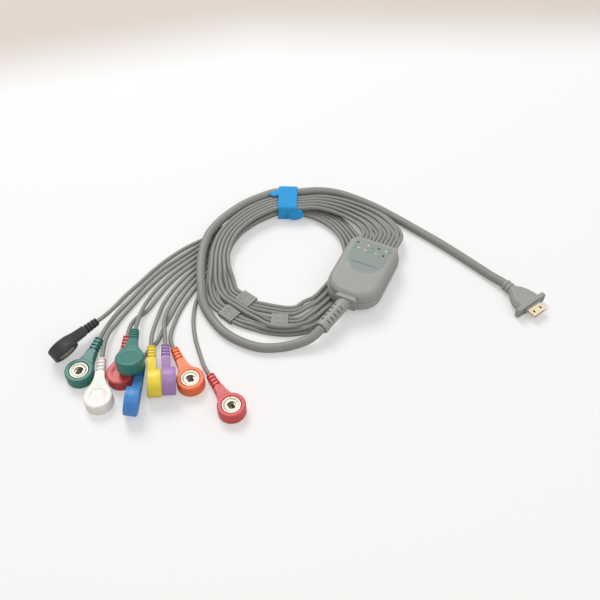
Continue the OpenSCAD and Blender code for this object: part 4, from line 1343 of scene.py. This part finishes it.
@dataclass
class CableTie:
    """The hook-and-loop strap: a taut band round the bundle, with two strap ends and a fold on it.

    The circles are what the band is drawn round, as (distance from the coil's middle, height, radius).
    """

    shop: Workshop
    circles: tuple[tuple[float, float, float], ...] = (
        (40.2, 2.4, 1.3), (51.72, 2.4, 1.3), (56.4, 8.5, 3.05), (40.2, 9.05, 1.3))
    width: float = 12.5
    thick: float = 1.1
    end_at: tuple[float, float, float] = (37.9, -5.5, 5.6)
    tab_at: tuple[float, float, float] = (51.9, 8.4, 10.9)
    fold_at: tuple[float, float, float] = (56.95, -1.8, 11.35)

    @staticmethod
    def put(p: Array) -> Array:
        """Band points (distance from the coil's middle, along, height) laid on the table."""
        return RING + turn_z(TIE_ANGLE, p)

    def loop(self) -> Outline:
        """The taut line: an arc on each circle between the two tangents that meet it.

        Returns:
            The outline of the band's inner face.
        """
        rows, normal = self.circles, []
        for a, b in zip(rows, [*rows[1:], rows[0]]):
            d = np.array(b[:2]) - np.array(a[:2])
            normal.append(math.degrees(math.atan2(d[1], d[0])) - 90
                          + math.degrees(math.asin((a[2] - b[2]) / np.linalg.norm(d))))
        runs = []
        for row, start, end in zip(rows, [normal[-1], *normal[:-1]], normal):
            runs.append(arc(*row, start, end + 360 * math.ceil((start - end) / 360), 12))
        return Outline.joined(runs, 11)

    def band(self) -> Surface:
        """The band: a section with soft edges carried round the taut line, with a slow waver in its width.

        Returns:
            The surface, closed round the bundle.
        """
        plan = self.loop()
        half, t = self.width / 2, self.thick
        section = np.vstack([arc(half - 0.5, t / 2, t / 2, -90, 90, 8),
                             np.column_stack([np.linspace(half - 1, -half + 1, 14), np.full(14, t)]),
                             arc(-half + 0.5, t / 2, t / 2, 90, 270, 8),
                             np.column_stack([np.linspace(-half + 1, half - 1, 14), np.full(14, 0.02)])])
        k = np.arange(len(plan.line))
        waver = (1 + 0.012 * np.sin(k * 0.55) + 0.008 * np.sin(k * 1.7 + 1))[:, None]
        p = plan.line[:, None, :] + section[None, :, 1:] * plan.normal[:, None, :]
        return loft(np.stack([p[..., 0], section[None, :, 0] * waver, p[..., 1]], -1), ring_closed=True)

    def flap(self, reach: tuple[float, float], lift: float) -> Surface:
        """A rounded piece of strap lying flat: a superellipse with a soft edge and a slight dome.

        Args:
            reach: half its size, across and along.
            lift: how much its middle rises over its edge.

        Returns:
            The surface, round its own middle.
        """
        c, s = (squared(wave(round_turn(56)), 0.8) for wave in (np.cos, np.sin))
        plan = Outline.through(np.column_stack([reach[0] * c, reach[1] * s]))
        edge = [(1.2, 0, 0), (0, 0, 0.5), (0, self.thick, 0.5), (1.4, self.thick + lift, 0)]
        return plan.skin(rounded(edge, 5))

    def build(self) -> None:
        """Makes the band with its strap end down the inner side, its tab and the fold over its top."""
        end = self.flap((3.7, 5.3), 0.25).moved(lambda p: turn_y(-78, turn_z(14, p)) + self.end_at)
        tab = self.flap((2.5, 3.6), 0.1).moved(lambda p: turn_x(-6, turn_z(14, p)) + self.tab_at)
        fold = self.flap((1.5, 4.6), 0.1).moved(lambda p: turn_y(10, p) + self.fold_at)
        strap = Surface.of([self.band(), end, tab, fold])
        self.shop.piece("tie_strap", strap.moved(self.put), Finish.LOOP, "tie", ["cable_tie"], sharp=70)


# ---------------------------------------------------------------- dividers

@dataclass
class LeadDividers:
    """The three sliding dividers, each with two rows of short moulded ribs on its upper face."""

    shop: Workshop
    top: float = 4.1
    rib_w: float = 0.6
    rib_l: float = 2.2
    rib_up: float = 0.14
    rows: tuple[float, ...] = (-1.5, 1.7)
    spots: tuple[float, ...] = (-3.0, -1.6, -0.2, 1.3, 2.8)

    def ribs(self, place: DividerPlace) -> Surface:
        """The ribs of one divider: small bars across the leads, each a superellipse in plan.

        Args:
            place: where the divider lies.

        Returns:
            The surface, on the table.
        """
        c, s = (squared(wave(round_turn(12)), 0.6) for wave in (np.cos, np.sin))
        plan = Outline.through(np.column_stack([self.rib_l / 2 * c, self.rib_w / 2 * s]))
        high = self.top + self.rib_up
        bar = plan.skin(rounded([(0, self.top - 0.1, 0), (0, high, 0.08), (0.18, high, 0)], 2))
        whole = Surface.of([bar.moved(lambda p, x=x, y=y: p + np.array([x, y, 0]))
                            for x in self.rows for y in self.spots])
        middle = on_ring(place.angle, 0, place.radius, 0)
        return whole.moved(lambda p: middle + turn_z(place.angle + place.turn, p))

    def build(self) -> None:
        """Eases the three dividers' edges and adds their ribs."""
        for i, place in enumerate(DIVIDERS, 1):
            body = f"divider_{i}"
            self.shop.eased(body + "_block", "lead_" + body, Finish.DIVIDER, "divider", 0.12, body)
            self.shop.piece(body + "_ribs", self.ribs(place), Finish.DIVIDER, "divider", body=body)


# ---------------------------------------------------------------- studio

@dataclass(frozen=True)
class Lamp:
    """A soft square lamp, aimed at the middle of the coil; its place and size are in metres."""

    name: str
    place: tuple[float, float, float]
    size: float
    watts: float
    colour: str

    def light(self) -> None:
        """Lights the lamp."""
        data = bpy.data.lights.new(self.name, "AREA")
        data.shape, data.size, data.energy = "SQUARE", self.size, self.watts
        data.color = linear(self.colour)[:3]
        lamp = bpy.data.objects.new(self.name, data)
        bpy.context.scene.collection.objects.link(lamp)
        lamp.location = self.place
        aim = -np.array(self.place) / np.linalg.norm(self.place)
        lamp.rotation_euler = (math.acos(-aim[2]), 0, math.atan2(aim[0], -aim[1]) + math.pi)


@dataclass
class Studio:
    """The camera, the table, the lamps and the surrounding light."""

    lens: float = 45.0
    rise: float = 50.0
    away: float = 460.0
    table_half_m: float = 3.0
    table_lift: float = 0.62
    # Where the painted shade on the table's far side starts and ends along Y, in metres.
    far_shade_m: tuple[float, float] = (0.222, 0.335)
    left_m: tuple[float, float, float] = (-0.05, -0.35, 0.085)
    world_level: tuple[float, float] = (0.42, 0.95)
    lamps: tuple[Lamp, ...] = (Lamp("key_lamp", (-0.55, 1.2, 1.7), 1.0, 23.0, "FFFEFD"),
                               Lamp("fill_lamp", (1.1, -0.9, 1.8), 1.8, 12.0, "FFFFFF"))

    def camera(self) -> None:
        """The camera, looking at the table's zero point from away millimetres and rise degrees up."""
        cam = bpy.data.objects.new("camera", bpy.data.cameras.new("camera"))
        bpy.context.scene.collection.objects.link(cam)
        cam.data.lens = self.lens
        cam.data.sensor_width = 36.0
        cam.data.clip_start, cam.data.clip_end = 0.01, 20.0
        e = math.radians(self.rise)
        eye = np.array([0, -self.away * math.cos(e), self.away * math.sin(e)])
        cam.location = ((eye - MIDDLE) * MM).tolist()
        cam.rotation_euler = (math.radians(90 - self.rise), 0, 0)
        bpy.context.scene.camera = cam

    def table(self) -> None:
        """A wide table top of white laminate that takes the shadows, with painted shade that darkens it
        towards its far side.

        The painted shade starts and ends at the two distances of far_shade_m along Y. At the left it comes
        nearer: by left_m's last value from its second X on, and by nothing up to its first.
        """
        half, (near, far), (start, end, more) = self.table_half_m, self.far_shade_m, self.left_m
        mesh = bpy.data.meshes.new("table_top")
        mesh.from_pydata([(-half, -half, 0), (half, -half, 0), (half, half, 0), (-half, half, 0)], [],
                         [(0, 1, 2, 3)])
        obj = bpy.data.objects.new("table_top", mesh)
        bpy.context.scene.collection.objects.link(obj)
        make = Recipe("table_laminate_white")
        split = make.add("SeparateXYZ", {0: make.place})
        left = make.add("MapRange", {"Value": split.outputs["X"], "From Min": start, "From Max": end,
                                     "To Max": more})
        depth = make.add("Math", {0: split.outputs["Y"], 1: left.outputs["Result"]}, operation="ADD")
        far_shade = make.add("MapRange", {"Value": depth.outputs[0], "From Min": near, "From Max": far},
                        interpolation_type="SMOOTHSTEP")
        # The camera sees a deeper white than the light does, since the lift below adds to it.
        seen = make.add("LightPath").outputs["Is Camera Ray"]
        white = make.add("Mix", {0: seen, 6: linear("E2E0DE"), 7: linear("CBCBCB")}, data_type="RGBA")
        # Painted shade: towards the far side the table's colour turns to a darker AFA7A0, where the light
        # falls off.
        colour = make.add("Mix", {0: far_shade.outputs["Result"], 6: white.outputs[2], 7: linear("AFA7A0")},
                          data_type="RGBA").outputs[2]
        lift = make.add("Math", {0: seen, 1: self.table_lift}, operation="MULTIPLY")
        obj.data.materials.append(make.done({"Base Color": colour, "Emission Color": colour,
                                             "Emission Strength": lift.outputs[0], "Roughness": 0.7}))

    def world(self) -> None:
        """An even pale surround, dimmer as light than as seen by the camera and in reflections."""
        world = bpy.data.worlds.new("surround")
        bpy.context.scene.world = world
        world.use_nodes = True
        tree = world.node_tree
        path = add_node(tree, "LightPath")
        seen = add_node(tree, "Math", {0: path.outputs["Is Camera Ray"], 1: path.outputs["Is Glossy Ray"]},
                        operation="MAXIMUM")
        low, high = self.world_level
        level = add_node(tree, "MapRange", {"Value": seen.outputs[0], "To Min": low, "To Max": high})
        feed(tree, tree.nodes["Background"], {"Strength": level.outputs["Result"],
                                              "Color": linear("FFFDFA")})

    def build(self) -> None:
        """Sets up the whole studio."""
        bpy.context.scene.view_settings.view_transform = "Standard"
        self.camera()
        self.table()
        for lamp in self.lamps:
            lamp.light()
        self.world()


def main(frame: dict[str, Any]) -> None:
    """Builds the studio, the cords and every other piece in order.
    """
    logging.basicConfig(level=logging.INFO, format="%(name)s: %(message)s")
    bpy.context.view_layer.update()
    Studio().build()
    shop = Workshop(frame)
    cords = CordSet(shop)
    cords.build()
    ends = {"trunk_cable": Plug(shop).build()}
    for snap in SNAPS:
        ends["lead_" + snap.name] = SnapConnector(shop, snap).build()
    JunctionBox(shop).build()
    LeadDividers(shop).build()
    CableTie(shop).build()


if __name__ == "__main__":
    main(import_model())
